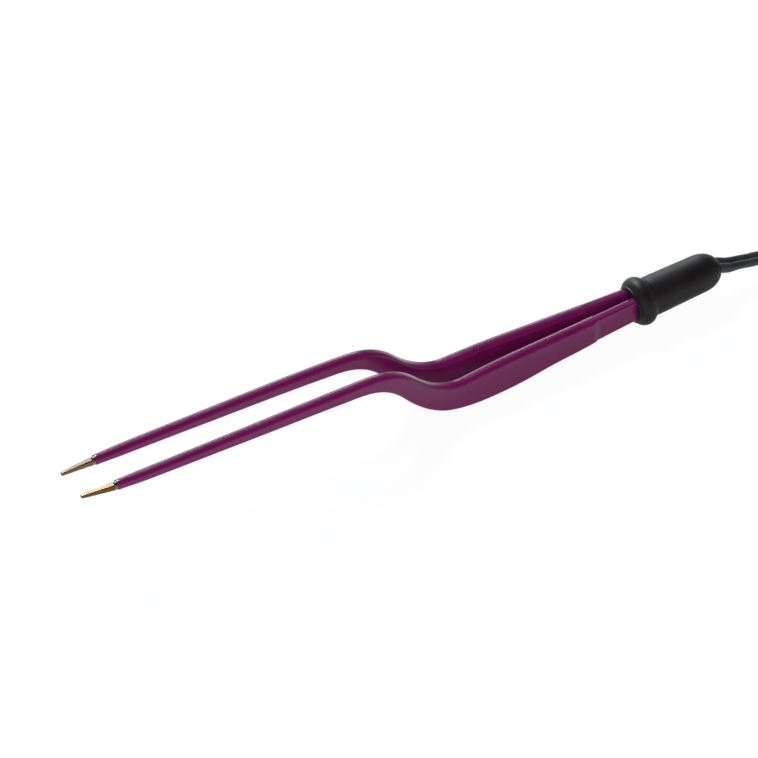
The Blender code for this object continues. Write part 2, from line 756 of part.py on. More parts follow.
def build_plug(parts, cutters, finishes):
    body_x = PLUG_X + RELIEF_LENGTH - RELIEF_SEAT_LENGTH
    front = body_x + PLUG_LENGTH
    half = PLUG_WIDTH / 2
    neck = PLUG_NECK_WIDTH / 2
    shoulder = body_x + PLUG_SHOULDER_LENGTH
    outline = [(body_x, -neck)]
    for i in range(1, 9):
        share = i / 9
        ease = share * share * (3 - 2 * share)
        outline.append((body_x + share * PLUG_SHOULDER_LENGTH, -neck - (half - neck) * ease))
    outline += [(shoulder, -half), (front, -half)]
    outline += [(x, -y) for x, y in reversed(outline)]
    curve = outline_solid("plug_outline", outline, PLUG_THICKNESS, PLUG_THICKNESS / 2, parts, None)
    bpy.context.view_layer.update()
    graph = bpy.context.evaluated_depsgraph_get()
    mesh = bpy.data.meshes.new_from_object(curve.evaluated_get(graph))
    bm = bmesh.new()
    bm.from_mesh(mesh)
    bmesh.ops.remove_doubles(bm, verts=bm.verts, dist=1e-6)
    bmesh.ops.transform(bm, matrix=curve.matrix_world, verts=bm.verts)
    bpy.data.objects.remove(curve)
    body = add_object("plug_body", mesh_from(bm, "plug_body"), parts, finishes["plug"])
    bevel = body.modifiers.new("rounded edges", "BEVEL")
    bevel.width = PLUG_ROUNDING
    bevel.segments = 3
    bevel.limit_method = "ANGLE"
    bevel.angle_limit = math.radians(50)
    pocket = box(
        "insert_pocket",
        (-INSERT_WIDTH / 2, -INSERT_HEIGHT / 2, -INSERT_DEPTH),
        (INSERT_WIDTH / 2, INSERT_HEIGHT / 2, 0.002),
        plug_frame(front),
        cutters,
    )
    cut(body, pocket)
    seat = turned(
        "relief_seat",
        [
            (0.0, RELIEF_SEAT_LENGTH + SEAT_GAP),
            (RELIEF_REAR_RADIUS + SEAT_GAP, RELIEF_SEAT_LENGTH + SEAT_GAP),
            (RELIEF_REAR_RADIUS + SEAT_GAP, -0.002),
            (0.0, -0.002),
        ],
        cutters,
        None,
        24,
        plug_frame(body_x),
    )
    cut(body, seat)
    insert = box(
        "plug_insert",
        (-INSERT_WIDTH / 2 + SEAT_GAP, -INSERT_HEIGHT / 2 + SEAT_GAP, -INSERT_DEPTH + SEAT_GAP),
        (INSERT_WIDTH / 2 - SEAT_GAP, INSERT_HEIGHT / 2 - SEAT_GAP, 0.0),
        plug_frame(front),
        parts,
        finishes["insert"],
    )
    round_end = 0.0008
    pin_profile = [(0.0, PIN_LENGTH), (PIN_RADIUS - round_end, PIN_LENGTH)]
    pin_profile += [(PIN_RADIUS, PIN_LENGTH - round_end), (PIN_RADIUS, -PIN_DEPTH), (0.0, -PIN_DEPTH)]
    hole_radius = PIN_RADIUS + PIN_FIT
    hole_profile = [(0.0, 0.001), (hole_radius, 0.001)]
    hole_profile += [(hole_radius, -PIN_DEPTH - SEAT_GAP), (0.0, -PIN_DEPTH - SEAT_GAP)]
    for number, side in (("1", -1), ("2", 1)):
        frame = plug_frame(front, side * PIN_SPACING / 2)
        turned(f"plug_pin_{number}", pin_profile, parts, finishes["pin"], 20, frame)
        hole = turned(f"pin_hole_{number}", hole_profile, cutters, None, 20, frame)
        cut(insert, hole)
        cut(body, hole)
    relief_profile = [
        (0.0, RELIEF_LENGTH),
        (RELIEF_REAR_RADIUS, RELIEF_LENGTH),
        (RELIEF_REAR_RADIUS, RELIEF_LENGTH - RELIEF_SEAT_LENGTH - 0.001),
        (RELIEF_FRONT_RADIUS, 0.0),
        (CORE_RADIUS + CORE_SPACING / 2 + CORD_FIT, 0.0),
        (CORE_RADIUS + CORE_SPACING / 2 + CORD_FIT, RELIEF_BORE_LENGTH),
        (0.0, RELIEF_BORE_LENGTH),
    ]
    turned("plug_relief", relief_profile, parts, finishes["plug"], 24, plug_frame(PLUG_X))


def build():
    clear_scene()
    parts = new_collection("bipolar_forceps")
    cutters = new_collection("cutters")
    cutters.hide_render = True
    coat = material("purple nylon coat", (0.10, 0.012, 0.07), 0.35, 0.0)
    steel = material("stainless steel", (0.55, 0.55, 0.56), 0.3, 1.0)
    plating = material("gold plating", (0.85, 0.6, 0.28), 0.25, 1.0)
    rubber = material("black rubber", (0.02, 0.02, 0.022), 0.5, 0.0)
    nylon = material("black nylon", (0.015, 0.015, 0.016), 0.45, 0.0)
    brass = material("tinned brass", (0.7, 0.66, 0.55), 0.35, 1.0)
    copper = material("copper strands", (0.75, 0.35, 0.2), 0.4, 1.0)
    lead = material("black lead", (0.045, 0.045, 0.045), 0.45, 0.0)
    band = material("white tie", (0.75, 0.75, 0.73), 0.6, 0.0)
    nickel = material("nickel plating", (0.7, 0.68, 0.64), 0.2, 1.0)
    for word, side in SIDES.items():
        arm = bpy.data.objects.new(f"arm_{word}_axis", None)
        arm.location = (X_COAT_END, side * HEEL_SPREAD / 2, HEEL_CENTRE)
        parts.objects.link(arm)
        build_coat(word, side, arm, parts, cutters, coat)
        build_blade(word, side, arm, parts, steel)
        build_tip(word, side, arm, parts, plating)
        build_terminal(word, side, arm, parts, brass)
        build_strands(word, side, arm, parts, copper)
    build_boot(parts, cutters, rubber)
    build_spacer(parts, cutters, nylon)
    guide = twin_guide(cutters)
    build_cord("cord_lead", LEAD_ROUTE, parts, guide, lead)
    build_hank(parts, lead)
    build_cord("cord_tail", TAIL_ROUTE, parts, guide, lead)
    build_tie(parts, band)
    build_plug(parts, cutters, {"plug": rubber, "insert": nylon, "pin": nickel})


build()
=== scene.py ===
# %% [markdown]
# # Bipolar forceps: two coated spring arms, a rubber boot and a twin lead
#
# This lesson dresses a finished solid model. The solids come from the imported frame, in metres, with the tips
# toward -X, the boot toward +X and the surface at Z = 0. They keep their places, so each new piece is drawn
# straight in those coordinates and no fitting is needed afterwards.

# %% Load the frame
import math

import bmesh
import bpy
from mathutils import Matrix, Vector


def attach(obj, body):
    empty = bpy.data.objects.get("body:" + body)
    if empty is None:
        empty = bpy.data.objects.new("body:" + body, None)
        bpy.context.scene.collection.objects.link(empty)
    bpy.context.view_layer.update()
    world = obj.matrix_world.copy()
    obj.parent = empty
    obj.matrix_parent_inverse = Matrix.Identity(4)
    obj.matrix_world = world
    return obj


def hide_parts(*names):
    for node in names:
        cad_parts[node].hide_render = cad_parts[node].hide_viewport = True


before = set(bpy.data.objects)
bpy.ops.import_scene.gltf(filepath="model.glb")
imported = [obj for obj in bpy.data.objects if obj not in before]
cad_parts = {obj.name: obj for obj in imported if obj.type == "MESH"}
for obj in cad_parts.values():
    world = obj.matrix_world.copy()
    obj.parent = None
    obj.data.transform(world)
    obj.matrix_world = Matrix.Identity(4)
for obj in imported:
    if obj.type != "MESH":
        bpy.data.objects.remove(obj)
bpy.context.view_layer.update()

# %% [markdown]
# ## The camera
#
# A studio camera with a long lens stood in front of the instrument, to its left and well above it. It could be
# placed by eye, with an empty to aim at, but then its roll is hard to set. Here its three axes are worked out from
# a turn, a rise and a roll, so that each of the three angles can be changed alone.

# %% Place the camera
VIEW_TURN = math.radians(-30.66)
VIEW_RISE = math.radians(40.0)
VIEW_ROLL = math.radians(-1.14)
VIEW_DISTANCE = 1.86942
AIM_RIGHT = -0.00705
AIM_UP = 0.01099
LENS = 305.06

level = Vector((math.cos(VIEW_TURN), math.sin(VIEW_TURN), 0.0))
back = Vector((
    math.sin(VIEW_TURN) * math.cos(VIEW_RISE),
    -math.cos(VIEW_TURN) * math.cos(VIEW_RISE),
    math.sin(VIEW_RISE),
))
rise = back.cross(level)
right = level * math.cos(VIEW_ROLL) + rise * math.sin(VIEW_ROLL)
up = rise * math.cos(VIEW_ROLL) - level * math.sin(VIEW_ROLL)
camera_data = bpy.data.cameras.new("studio camera")
camera_data.lens = LENS
camera_data.sensor_width = 36.0
camera_data.clip_start = 0.05
camera_data.clip_end = 20.0
camera = bpy.data.objects.new("studio camera", camera_data)
camera.matrix_world = Matrix.Translation(back * VIEW_DISTANCE + right * AIM_RIGHT + up * AIM_UP) @ Matrix(
    (right, up, back)
).transposed().to_4x4()
bpy.context.scene.collection.objects.link(camera)
bpy.context.scene.camera = camera
print("camera at", [round(value, 4) for value in camera.matrix_world.translation])

# %% [markdown]
# ## Helpers for the finishes
#
# Every finish is a Principled shader whose colour, roughness and bump come from noise in Object coordinates. Image
# textures would need files and an unwrapped surface, and they blur when the camera comes close. Noise has neither
# trouble, and its spots can be given their real size in metres. One function sets up all three for most finishes.

# %% Noise, colour, roughness and bump
def new_finish(name, metallic=0.0):
    finish = bpy.data.materials.new(name)
    finish.use_nodes = True
    fix(finish, "Metallic", metallic)
    return finish


def shader_of(finish):
    return finish.node_tree.nodes["Principled BSDF"]


def spots(finish, size, detail=2.0, stretch=(1.0, 1.0, 1.0), coordinates="Object"):
    """Noise whose spots are about size metres across, drawn out along the axes where stretch is large."""
    nodes, links = finish.node_tree.nodes, finish.node_tree.links
    place = nodes.new("ShaderNodeTexCoord")
    scale = nodes.new("ShaderNodeMapping")
    scale.inputs["Scale"].default_value = [1.0 / (size * s) for s in stretch]
    pattern = nodes.new("ShaderNodeTexNoise")
    pattern.inputs["Scale"].default_value = 1.0
    pattern.inputs["Detail"].default_value = detail
    links.new(place.outputs[coordinates], scale.inputs["Vector"])
    links.new(scale.outputs["Vector"], pattern.inputs["Vector"])
    return pattern.outputs["Fac"]


def between(finish, factor, low, high, start=0.3, end=0.7):
    """A value that runs from low to high while the factor runs from start to end."""
    nodes, links = finish.node_tree.nodes, finish.node_tree.links
    ranged = nodes.new("ShaderNodeMapRange")
    ranged.inputs["From Min"].default_value = start
    ranged.inputs["From Max"].default_value = end
    ranged.inputs["To Min"].default_value = low
    ranged.inputs["To Max"].default_value = high
    links.new(factor, ranged.inputs["Value"])
    return ranged.outputs["Result"]


def colours(finish, factor, low, high, start=0.3, end=0.7):
    """A colour that runs from low to high while the factor runs from start to end."""
    nodes, links = finish.node_tree.nodes, finish.node_tree.links
    ramp = nodes.new("ShaderNodeValToRGB")
    ramp.color_ramp.elements[0].position = start
    ramp.color_ramp.elements[0].color = (*low, 1.0)
    ramp.color_ramp.elements[1].position = end
    ramp.color_ramp.elements[1].color = (*high, 1.0)
    links.new(factor, ramp.inputs["Fac"])
    return ramp.outputs["Color"]


def feed(finish, socket, value):
    finish.node_tree.links.new(value, shader_of(finish).inputs[socket])


def fix(finish, socket, value):
    shader_of(finish).inputs[socket].default_value = value


def add_bump(finish, height, depth):
    """Bumps up to depth metres high, on top of those that the finish already has."""
    nodes, links = finish.node_tree.nodes, finish.node_tree.links
    normal = shader_of(finish).inputs["Normal"]
    node = nodes.new("ShaderNodeBump")
    node.inputs["Strength"].default_value = 1.0
    node.inputs["Distance"].default_value = depth
    if normal.is_linked:
        links.new(normal.links[0].from_socket, node.inputs["Normal"])
    links.new(height, node.inputs["Height"])
    links.new(node.outputs["Normal"], normal)


def textured(name, shades, patches, roughness, wear, bumps, metallic=0.0):
    """A finish whose patches, wear and bumps are each given as the noise that spots() makes."""
    finish = new_finish(name, metallic)
    feed(finish, "Base Color", colours(finish, spots(finish, *patches), *shades))
    feed(finish, "Roughness", between(finish, spots(finish, *wear), *roughness))
    for noise, depth in bumps:
        add_bump(finish, spots(finish, *noise), depth)
    return finish


print("finish helpers are ready")

# %% [markdown]
# ## The lead's jacket
#
# The twin lead has a soft satin-black jacket. It is pressed out of a die, so faint lines run along it, and handling
# leaves it unevenly dull. The lines follow the lead round every fold, so they read its UV map, where U is the
# length in metres and V goes once around.

# %% The jacket's finish
LINES_ALONG = (0.05, 2.0, (1.0, 0.6, 1.0), "UV")
jacket = textured(
    "satin black jacket",
    shades=((0.017, 0.017, 0.018), (0.026, 0.026, 0.027)),
    patches=(0.006,),
    roughness=(0.34, 0.46),
    wear=(0.006,),
    bumps=((LINES_ALONG, 0.00002), ((0.0004,), 0.000006)),
)
fix(jacket, "Specular IOR Level", 0.36)
print("finish:", jacket.name)

# %% [markdown]
# ## The lead, its hank and its tail
#
# About three metres of twin lead run from the boot to the plug. Only the first centimetres lie in the picture, so
# the rest is folded into a hank, as for storage, and held by a tie. A curve with a bevel would sweep the section for
# us, but it can't turn the flat lead on its edge where the hank needs it. So one ring of the section is extruded
# along the route, and each ring gets its own twist: flat at the boot and the plug, on edge in the hank.

# %% The lead's own sizes
CORE_RADIUS = 0.00128
CORE_SPACING = 0.00254
WEB_HALF = 0.0005
BOOT_END = 0.110
BOOT_TILT = math.radians(3.3)
BEAD_RADIUS = 0.00752
BEAD_X = 0.0819


def boot_axis_height(x):
    """Height of the boot's axis at x, where the boot's bead stands on the surface."""
    return BEAD_RADIUS / math.cos(BOOT_TILT) + (x - BEAD_X) * math.tan(BOOT_TILT)


LEAD_ROUTE = (
    (0.1065, 0.0, boot_axis_height(0.1065)),
    (0.1095, 0.0, boot_axis_height(0.1095)),
    (0.1126, -0.0002, 0.0080),
    (0.1166, -0.0005, 0.0075),
    (0.1207, -0.0009, 0.0069),
    (0.1240, -0.0013, 0.0066),
    (0.1320, -0.0035, 0.0056),
    (0.1400, -0.0080, 0.0039),
    (0.1475, -0.0130, 0.0030),
    (0.1545, -0.0168, 0.0032),
    (0.1615, -0.0191, 0.0036),
)
TAIL_ROUTE = (
    (0.2705, 0.0192, 0.0085),
    (0.2770, 0.0170, 0.0078),
    (0.2830, 0.0118, 0.0070),
    (0.2900, 0.0045, 0.0065),
    (0.2960, 0.0004, 0.0065),
    (0.3030, 0.0, 0.0065),
)

# %% The turns of the hank
HANK_NEAR = 0.177
HANK_FAR = 0.255
RING_RADII = (0.02072, 0.01812, 0.01552)
LAYER_HEIGHTS = (0.003675, 0.008825, 0.013975, 0.019125)
TURN_STEPS = 12
RUN_STEPS = 6


def ease(share):
    return share * share * (3.0 - 2.0 * share)


def end_turn(centre_x, start, sweep, radii, height):
    """Half a turn round one end of the hank, while its radius eases from the first to the second."""
    points = []
    for i in range(1, TURN_STEPS + 1):
        share = i / TURN_STEPS
        angle = math.radians(start + sweep * share)
        radius = radii[0] + (radii[1] - radii[0]) * ease(share)
        points.append((centre_x + radius * math.cos(angle), radius * math.sin(angle), height))
    return points


def straight_run(start_x, end_x, y_values, heights, steps=RUN_STEPS):
    """A run from end to end of the hank, which may ease sideways and upward."""
    points = []
    for i in range(1, steps + 1):
        share = i / steps
        points.append((
            start_x + (end_x - start_x) * share,
            y_values[0] + (y_values[1] - y_values[0]) * ease(share),
            heights[0] + (heights[1] - heights[0]) * ease(share),
        ))
    return points


outer, middle, inner = RING_RADII
first, second, third, fourth = LAYER_HEIGHTS
hank = [(HANK_NEAR, -outer, first)]
for now, after in ((outer, middle), (middle, inner), (inner, inner)):
    hank += straight_run(HANK_NEAR, HANK_FAR, (-now, -now), (first, first))
    hank += end_turn(HANK_FAR, -90, 180, (now, now), first)
    hank += straight_run(HANK_FAR, HANK_NEAR, (now, now), (first, first))
    hank += end_turn(HANK_NEAR, 90, 180, (now, after), first)
hank += straight_run(HANK_NEAR, HANK_FAR, (-inner, inner), (first, fourth), 12)
UPPER_LOOPS = (
    # far turn, then the run at -Y, then the near turn, then the run at +Y: radii, and heights before and after
    ((inner, inner), fourth, fourth, (inner, middle), fourth, fourth),
    ((middle, middle), fourth, fourth, (middle, outer), fourth, fourth),
    ((outer, outer), fourth, third, (outer, outer), third, third),
    ((outer, middle), third, third, (middle, middle), third, third),
    ((middle, inner), third, third, (inner, inner), third, second),
    ((inner, inner), second, second, (inner, middle), second, second),
    ((middle, middle), second, second, (middle, outer), second, second),
)
for far_radii, start_z, front_z, near_radii, near_z, end_z in UPPER_LOOPS:
    run = far_radii[1]
    hank += end_turn(HANK_FAR, 90, -180, far_radii, start_z)
    hank += straight_run(HANK_FAR, HANK_NEAR, (-run, -run), (start_z, front_z))
    hank += end_turn(HANK_NEAR, -90, -180, near_radii, near_z)
    run = near_radii[1]
    hank += straight_run(HANK_NEAR, HANK_FAR, (run, run), (near_z, end_z))
print("points in the hank:", len(hank))

# %% The whole route, smooth from end to end
def smooth_route(points, step):
    """Points about a step apart on a smooth curve through the given ones."""
    route = [Vector(point) for point in points]
    ends = [2 * route[0] - route[1], *route, 2 * route[-1] - route[-2]]
    found = []
    for i in range(1, len(ends) - 2):
        a, b, c, d = ends[i - 1:i + 3]
        count = max(1, round((c - b).length / step))
        for k in range(count):
            t = k / count
            found.append(
                0.5 * (2 * b + (c - a) * t + (2 * a - 5 * b + 4 * c - d) * t**2 + (3 * b - a - 3 * c + d) * t**3)
            )
    return [*found, route[-1]]


entry = smooth_route([*LEAD_ROUTE, hank[0], hank[1]], 0.0015)
entry = [point for point in entry if point.x < HANK_NEAR - 0.0005]
leave = smooth_route([hank[-2], hank[-1], *TAIL_ROUTE], 0.0015)
leave = [point for point in leave if point.x > HANK_FAR + 0.0005]
route = [*entry, *[Vector(point) for point in hank], *leave]

# %% [markdown]
# Extruding a ring is the one move that most long pieces here share: the lead, the coats, the tips and the tie's
# band. The helper starts from a circle and moves its points onto the first outline. Then it extrudes the loop and
# moves the new points from outline to outline. A second helper rounds edges, as a mould or a file leaves them.

# %% Extrude a ring from outline to outline
def start_ring(bm, outline):
    made = bmesh.ops.create_circle(bm, cap_ends=False, segments=len(outline), radius=1.0)
    ring = list(made["verts"])
    for vert, place in zip(ring, outline):
        vert.co = place
    return ring


def ring_edges(bm, ring):
    return [bm.edges.get((ring[i - 1], ring[i])) for i in range(len(ring))]


def next_ring(bm, ring, outline):
    """Extrudes a ring's edges and moves the new points onto the next outline."""
    at = {tuple(vert.co): i for i, vert in enumerate(ring)}
    made = bmesh.ops.extrude_edge_only(bm, edges=ring_edges(bm, ring))
    fresh = [None] * len(ring)
    for item in made["geom"]:
        if isinstance(item, bmesh.types.BMVert):
            fresh[at[tuple(item.co)]] = item
    for vert, place in zip(fresh, outline):
        vert.co = place
    return fresh


def sweep(outlines, closed=False):
    """A mesh through all the outlines, with its ends filled, or joined to each other when it is closed."""
    bm = bmesh.new()
    head = ring = start_ring(bm, outlines[0])
    for outline in outlines[1:]:
        ring = next_ring(bm, ring, outline)
    if closed:
        bmesh.ops.bridge_loops(bm, edges=ring_edges(bm, head) + ring_edges(bm, ring))
    else:
        bmesh.ops.edgeloop_fill(bm, edges=ring_edges(bm, head))
        bmesh.ops.edgeloop_fill(bm, edges=ring_edges(bm, ring))
    return bm


def sharp_edges(bm, least):
    """The edges whose two faces meet at more than the least angle, in degrees."""
    return [edge for edge in bm.edges if edge.calc_face_angle(0.0) > math.radians(least)]


def round_edges(bm, edges, radius, segments):
    bmesh.ops.bevel(
        bm, geom=edges, offset=radius, segments=segments, profile=0.5, affect="EDGES", material=-1
    )


def put(bm, name, finish, body, replaced=(), smooth_angle=35.0):
    """Turns a bmesh into a named piece that rides on a body."""
    bmesh.ops.recalc_face_normals(bm, faces=bm.faces)
    mesh = bpy.data.meshes.new(name)
    bm.to_mesh(mesh)
    bm.free()
    mesh.shade_smooth()
    mesh.set_sharp_from_angle(angle=math.radians(smooth_angle))
    mesh.materials.append(finish)
    piece = bpy.data.objects.new(name, mesh)
    bpy.context.scene.collection.objects.link(piece)
    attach(piece, body)
    if replaced:
        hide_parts(*replaced)
    print(name, "faces:", len(mesh.polygons))
    return piece


print("sweep helpers are ready")

# %% The lead's section and its twist
TWIST_START = 0.126
TWIST_END = 0.172
UNTWIST_START = 0.262
UNTWIST_END = 0.294
CORE_POINTS = 12
EXIT_SWELL = 0.22
SWELL_LENGTH = 0.0065


def twin_section():
    """The lead's outline in its own width and thickness: two round cores joined by a thin web."""
    half = CORE_SPACING / 2
    notch = math.asin(WEB_HALF / CORE_RADIUS)
    points = []
    for side in (1, -1):
        for i in range(CORE_POINTS):
            turn = notch + (2 * math.pi - 2 * notch) * i / (CORE_POINTS - 1)
            angle = math.pi + turn if side > 0 else turn
            points.append((side * half + CORE_RADIUS * math.cos(angle), CORE_RADIUS * math.sin(angle)))
    return points


def on_edge(i):
    """How far the lead is turned on its edge at a point of the route, from 0 to 1."""
    x = route[i].x
    if i < len(entry):
        return ease(min(1.0, max(0.0, (x - TWIST_START) / (TWIST_END - TWIST_START))))
    if i >= len(route) - len(leave):
        return 1.0 - ease(min(1.0, max(0.0, (x - UNTWIST_START) / (UNTWIST_END - UNTWIST_START))))
    return 1.0


section = twin_section()
outlines = []
for i, point in enumerate(route):
    along = (route[min(i + 1, len(route) - 1)] - route[max(i - 1, 0)]).normalized()
    flat = Vector((0.0, 0.0, 1.0)).cross(along).normalized()
    upright = along.cross(flat)
    twist = math.pi / 2 * on_edge(i)
    width_axis = flat * math.cos(twist) + upright * math.sin(twist)
    thick_axis = upright * math.cos(twist) - flat * math.sin(twist)
    swell = 1.0
    if i < len(entry):
        swell += EXIT_SWELL * ease(min(1.0, max(0.0, 1.0 - (point.x - BOOT_END) / SWELL_LENGTH)))
    outlines.append([point + (width_axis * u + thick_axis * v) * swell for u, v in section])
print("outlines:", len(outlines), "points each:", len(section))

# %% Sweep the lead and give it its UV map
lead_bm = sweep(outlines)
lead_uv = lead_bm.loops.layers.uv.new("along and around")
lead_bm.verts.ensure_lookup_table()
lead_bm.verts.index_update()
travelled = [0.0]
for a, b in zip(route, route[1:]):
    travelled.append(travelled[-1] + (b - a).length)
place_of = {}
for i, outline in enumerate(outlines):
    for k, place in enumerate(outline):
        place_of[tuple(round(value, 7) for value in place)] = (travelled[i], k / len(section))
for face in lead_bm.faces:
    for loop in face.loops:
        loop[lead_uv].uv = place_of.get(tuple(round(value, 7) for value in loop.vert.co), (0.0, 0.0))
twin_lead = put(lead_bm, "twin_lead", jacket, "boot_and_lead", ("cord_lead", "cord_hank", "cord_tail"))
print("height range in mm:", round(min(v.co.z for v in twin_lead.data.vertices) * 1000, 2))

# %% [markdown]
# ## The tie round the hank
#
# A soft white band goes once round the hank and sticks to itself on top. It could be bent from a strip with a
# curve modifier. It is quicker to sweep its four corners' outlines from one edge of the band to the other, because
# the rounded outline stays the same and only its size changes.

# %% The band's finish
THREADS = (0.0006, 1.0, (1.0, 4.0, 4.0))
band = textured(
    "soft white band",
    shades=((0.66, 0.66, 0.64), (0.76, 0.76, 0.74)),
    patches=(0.008,),
    roughness=(0.62, 0.8),
    wear=THREADS,
    bumps=((THREADS, 0.00006),),
)
fix(band, "Sheen Weight", 0.15)
print("finish:", band.name)

# %% The band
CORNER_FLAT = 0.0003


def rounded_outline(x, y, z, width, height, rounding, arc_steps):
    """A rectangle across X with round corners, and one more point on each flat beside every corner."""
    radius = min(rounding, 0.49 * width, 0.49 * height)
    outline = []
    for corner in range(4):
        y_side = (1, -1, -1, 1)[corner]
        z_side = (1, 1, -1, -1)[corner]
        middle_y = y + y_side * (width / 2 - radius)
        middle_z = z + z_side * (height / 2 - radius)
        flat_y = min(CORNER_FLAT, 0.3 * (width / 2 - radius))
        flat_z = min(CORNER_FLAT, 0.3 * (height / 2 - radius))
        arc = []
        for step in range(arc_steps + 1):
            angle = math.pi / 2 * (corner + step / arc_steps)
            arc.append(Vector((x, middle_y + radius * math.cos(angle), middle_z + radius * math.sin(angle))))
        before = Vector((0, 0, -z_side * flat_z)) if corner % 2 == 0 else Vector((0, -y_side * flat_y, 0))
        after = Vector((0, -y_side * flat_y, 0)) if corner % 2 == 0 else Vector((0, 0, -z_side * flat_z))
        outline += [arc[0] + before, *arc, arc[-1] + after]
    return outline


TIE_MIDDLE = (HANK_NEAR + HANK_FAR) / 2
TIE_WIDTH = 0.012
TIE_THICKNESS = 0.0008
TIE_INSIDE = (0.0446, 0.0212)
TIE_HEIGHT = 0.0114
EDGE_SOFTENING = 0.00025


def band_outline(x, grow, rounding):
    return rounded_outline(x, 0.0, TIE_HEIGHT, TIE_INSIDE[0] + 2 * grow, TIE_INSIDE[1] + 2 * grow, rounding, 8)


low_x = TIE_MIDDLE - TIE_WIDTH / 2
high_x = TIE_MIDDLE + TIE_WIDTH / 2
soft = EDGE_SOFTENING
band_bm = sweep(
    [
        band_outline(low_x, soft, 0.0021),
        band_outline(low_x, TIE_THICKNESS - soft, 0.0026),
        band_outline(low_x + soft, TIE_THICKNESS, 0.0028),
        band_outline(high_x - soft, TIE_THICKNESS, 0.0028),
        band_outline(high_x, TIE_THICKNESS - soft, 0.0026),
        band_outline(high_x, soft, 0.0021),
        band_outline(high_x - soft, 0.0, 0.0020),
        band_outline(low_x + soft, 0.0, 0.0020),
    ],
    closed=True,
)
tie_band = put(band_bm, "tie_band", band, "boot_and_lead", ("hank_tie",))

# %% The band's free end, stuck down on top
TAB_LENGTH = 0.020
TAB_THICKNESS = 0.0007
TAB_FREE = 0.007
TAB_LIFT = 0.0007
TAB_ROUNDING = 0.00018
TAB_SIDE = -0.004
tab_bm = bmesh.new()
bmesh.ops.create_cube(tab_bm, size=1.0)
bmesh.ops.scale(tab_bm, vec=(TIE_WIDTH, TAB_LENGTH, TAB_THICKNESS), verts=tab_bm.verts)
long_edges = [e for e in tab_bm.edges if abs((e.verts[0].co - e.verts[1].co).y) > TAB_LENGTH / 2]
bmesh.ops.subdivide_edges(tab_bm, edges=long_edges, cuts=11, use_grid_fill=True)
round_edges(tab_bm, sharp_edges(tab_bm, 60), TAB_ROUNDING, 2)
tab_top = TIE_HEIGHT + TIE_INSIDE[1] / 2 + TIE_THICKNESS + TAB_THICKNESS / 2
for vert in tab_bm.verts:
    share = max(0.0, (vert.co.y - (TAB_LENGTH / 2 - TAB_FREE)) / TAB_FREE)
    vert.co.z += TAB_LIFT * share * share
bmesh.ops.translate(tab_bm, vec=(TIE_MIDDLE, TAB_SIDE, tab_top), verts=tab_bm.verts)
tie_tab = put(tab_bm, "tie_tab", band, "boot_and_lead")

# %% [markdown]
# ## The plug
#
# The plug is a flat moulded body with a black insert that holds two nickel-plated pins, and a ribbed sleeve
# where the lead enters. The body's outline is extruded to its thickness, its edges are rounded with a bevel, and the
# grip is an inset pressed into each broad face. Three bars across each recess give the fingers hold.

# %% Black moulded rubber for the plug, and its insert and pins
def moulded(name, shades, roughness, grain):
    return textured(name, shades, (0.009,), roughness, (0.009,), (((grain, 3.0), 0.000012),))


DRAWN = (0.0003, 2.0, (30.0, 1.0, 1.0))
plug_rubber = moulded(
    "satin black plug rubber", ((0.012, 0.012, 0.013), (0.019, 0.019, 0.020)), (0.4, 0.52), 0.0003
)
insert_plastic = moulded(
    "matte black insert", ((0.018, 0.018, 0.018), (0.026, 0.026, 0.026)), (0.5, 0.62), 0.0002
)
nickel = textured(
    "nickel-plated brass",
    shades=((0.62, 0.60, 0.56), (0.74, 0.72, 0.68)),
    patches=(0.004,),
    roughness=(0.16, 0.3),
    wear=DRAWN,
    bumps=((DRAWN, 0.000004),),
    metallic=1.0,
)
print("finishes:", plug_rubber.name, insert_plastic.name, nickel.name)

# %% The plug's body
PLUG_REAR = 0.308
PLUG_FRONT = 0.332
PLUG_HALF_WIDTH = 0.019
PLUG_HALF_NECK = 0.0065
PLUG_SHOULDER = 0.011
PLUG_THICKNESS = 0.013
PLUG_ROUNDING = 0.002
GRIP_MARGIN = 0.0022
GRIP_DEPTH = 0.0005
POCKET_MARGIN = 0.0005
POCKET_DEPTH = 0.003
SHOULDER_STEPS = 14

side = [(PLUG_FRONT, -PLUG_HALF_WIDTH), (PLUG_REAR + PLUG_SHOULDER, -PLUG_HALF_WIDTH)]
for i in range(1, SHOULDER_STEPS + 1):
    share = 1.0 - i / SHOULDER_STEPS
    half = PLUG_HALF_NECK + (PLUG_HALF_WIDTH - PLUG_HALF_NECK) * ease(share)
    side.append((PLUG_REAR + PLUG_SHOULDER * share, -half))
plug_outline = side + [(x, -y) for x, y in reversed(side)]
plug_bm = bmesh.new()
plug_ring = start_ring(plug_bm, [Vector((x, y, 0.0)) for x, y in plug_outline])
top_ring = next_ring(plug_bm, plug_ring, [Vector((x, y, PLUG_THICKNESS)) for x, y in plug_outline])
bmesh.ops.edgeloop_fill(plug_bm, edges=ring_edges(plug_bm, plug_ring))
bmesh.ops.edgeloop_fill(plug_bm, edges=ring_edges(plug_bm, top_ring))
bmesh.ops.recalc_face_normals(plug_bm, faces=plug_bm.faces)
round_edges(plug_bm, sharp_edges(plug_bm, 50), PLUG_ROUNDING, 6)
for turn in (1.0, -1.0):
    broad = max((f for f in plug_bm.faces if f.normal.z * turn > 0.99), key=lambda f: f.calc_area())
    bmesh.ops.inset_region(plug_bm, faces=[broad], thickness=GRIP_MARGIN, depth=0.0)
    bmesh.ops.inset_region(plug_bm, faces=[broad], thickness=0.0004, depth=-GRIP_DEPTH)
blunt = max((f for f in plug_bm.faces if f.normal.x > 0.99), key=lambda f: f.calc_area())
bmesh.ops.inset_region(plug_bm, faces=[blunt], thickness=POCKET_MARGIN, depth=0.0)
pocket_size = (blunt.calc_area(), len(blunt.verts))
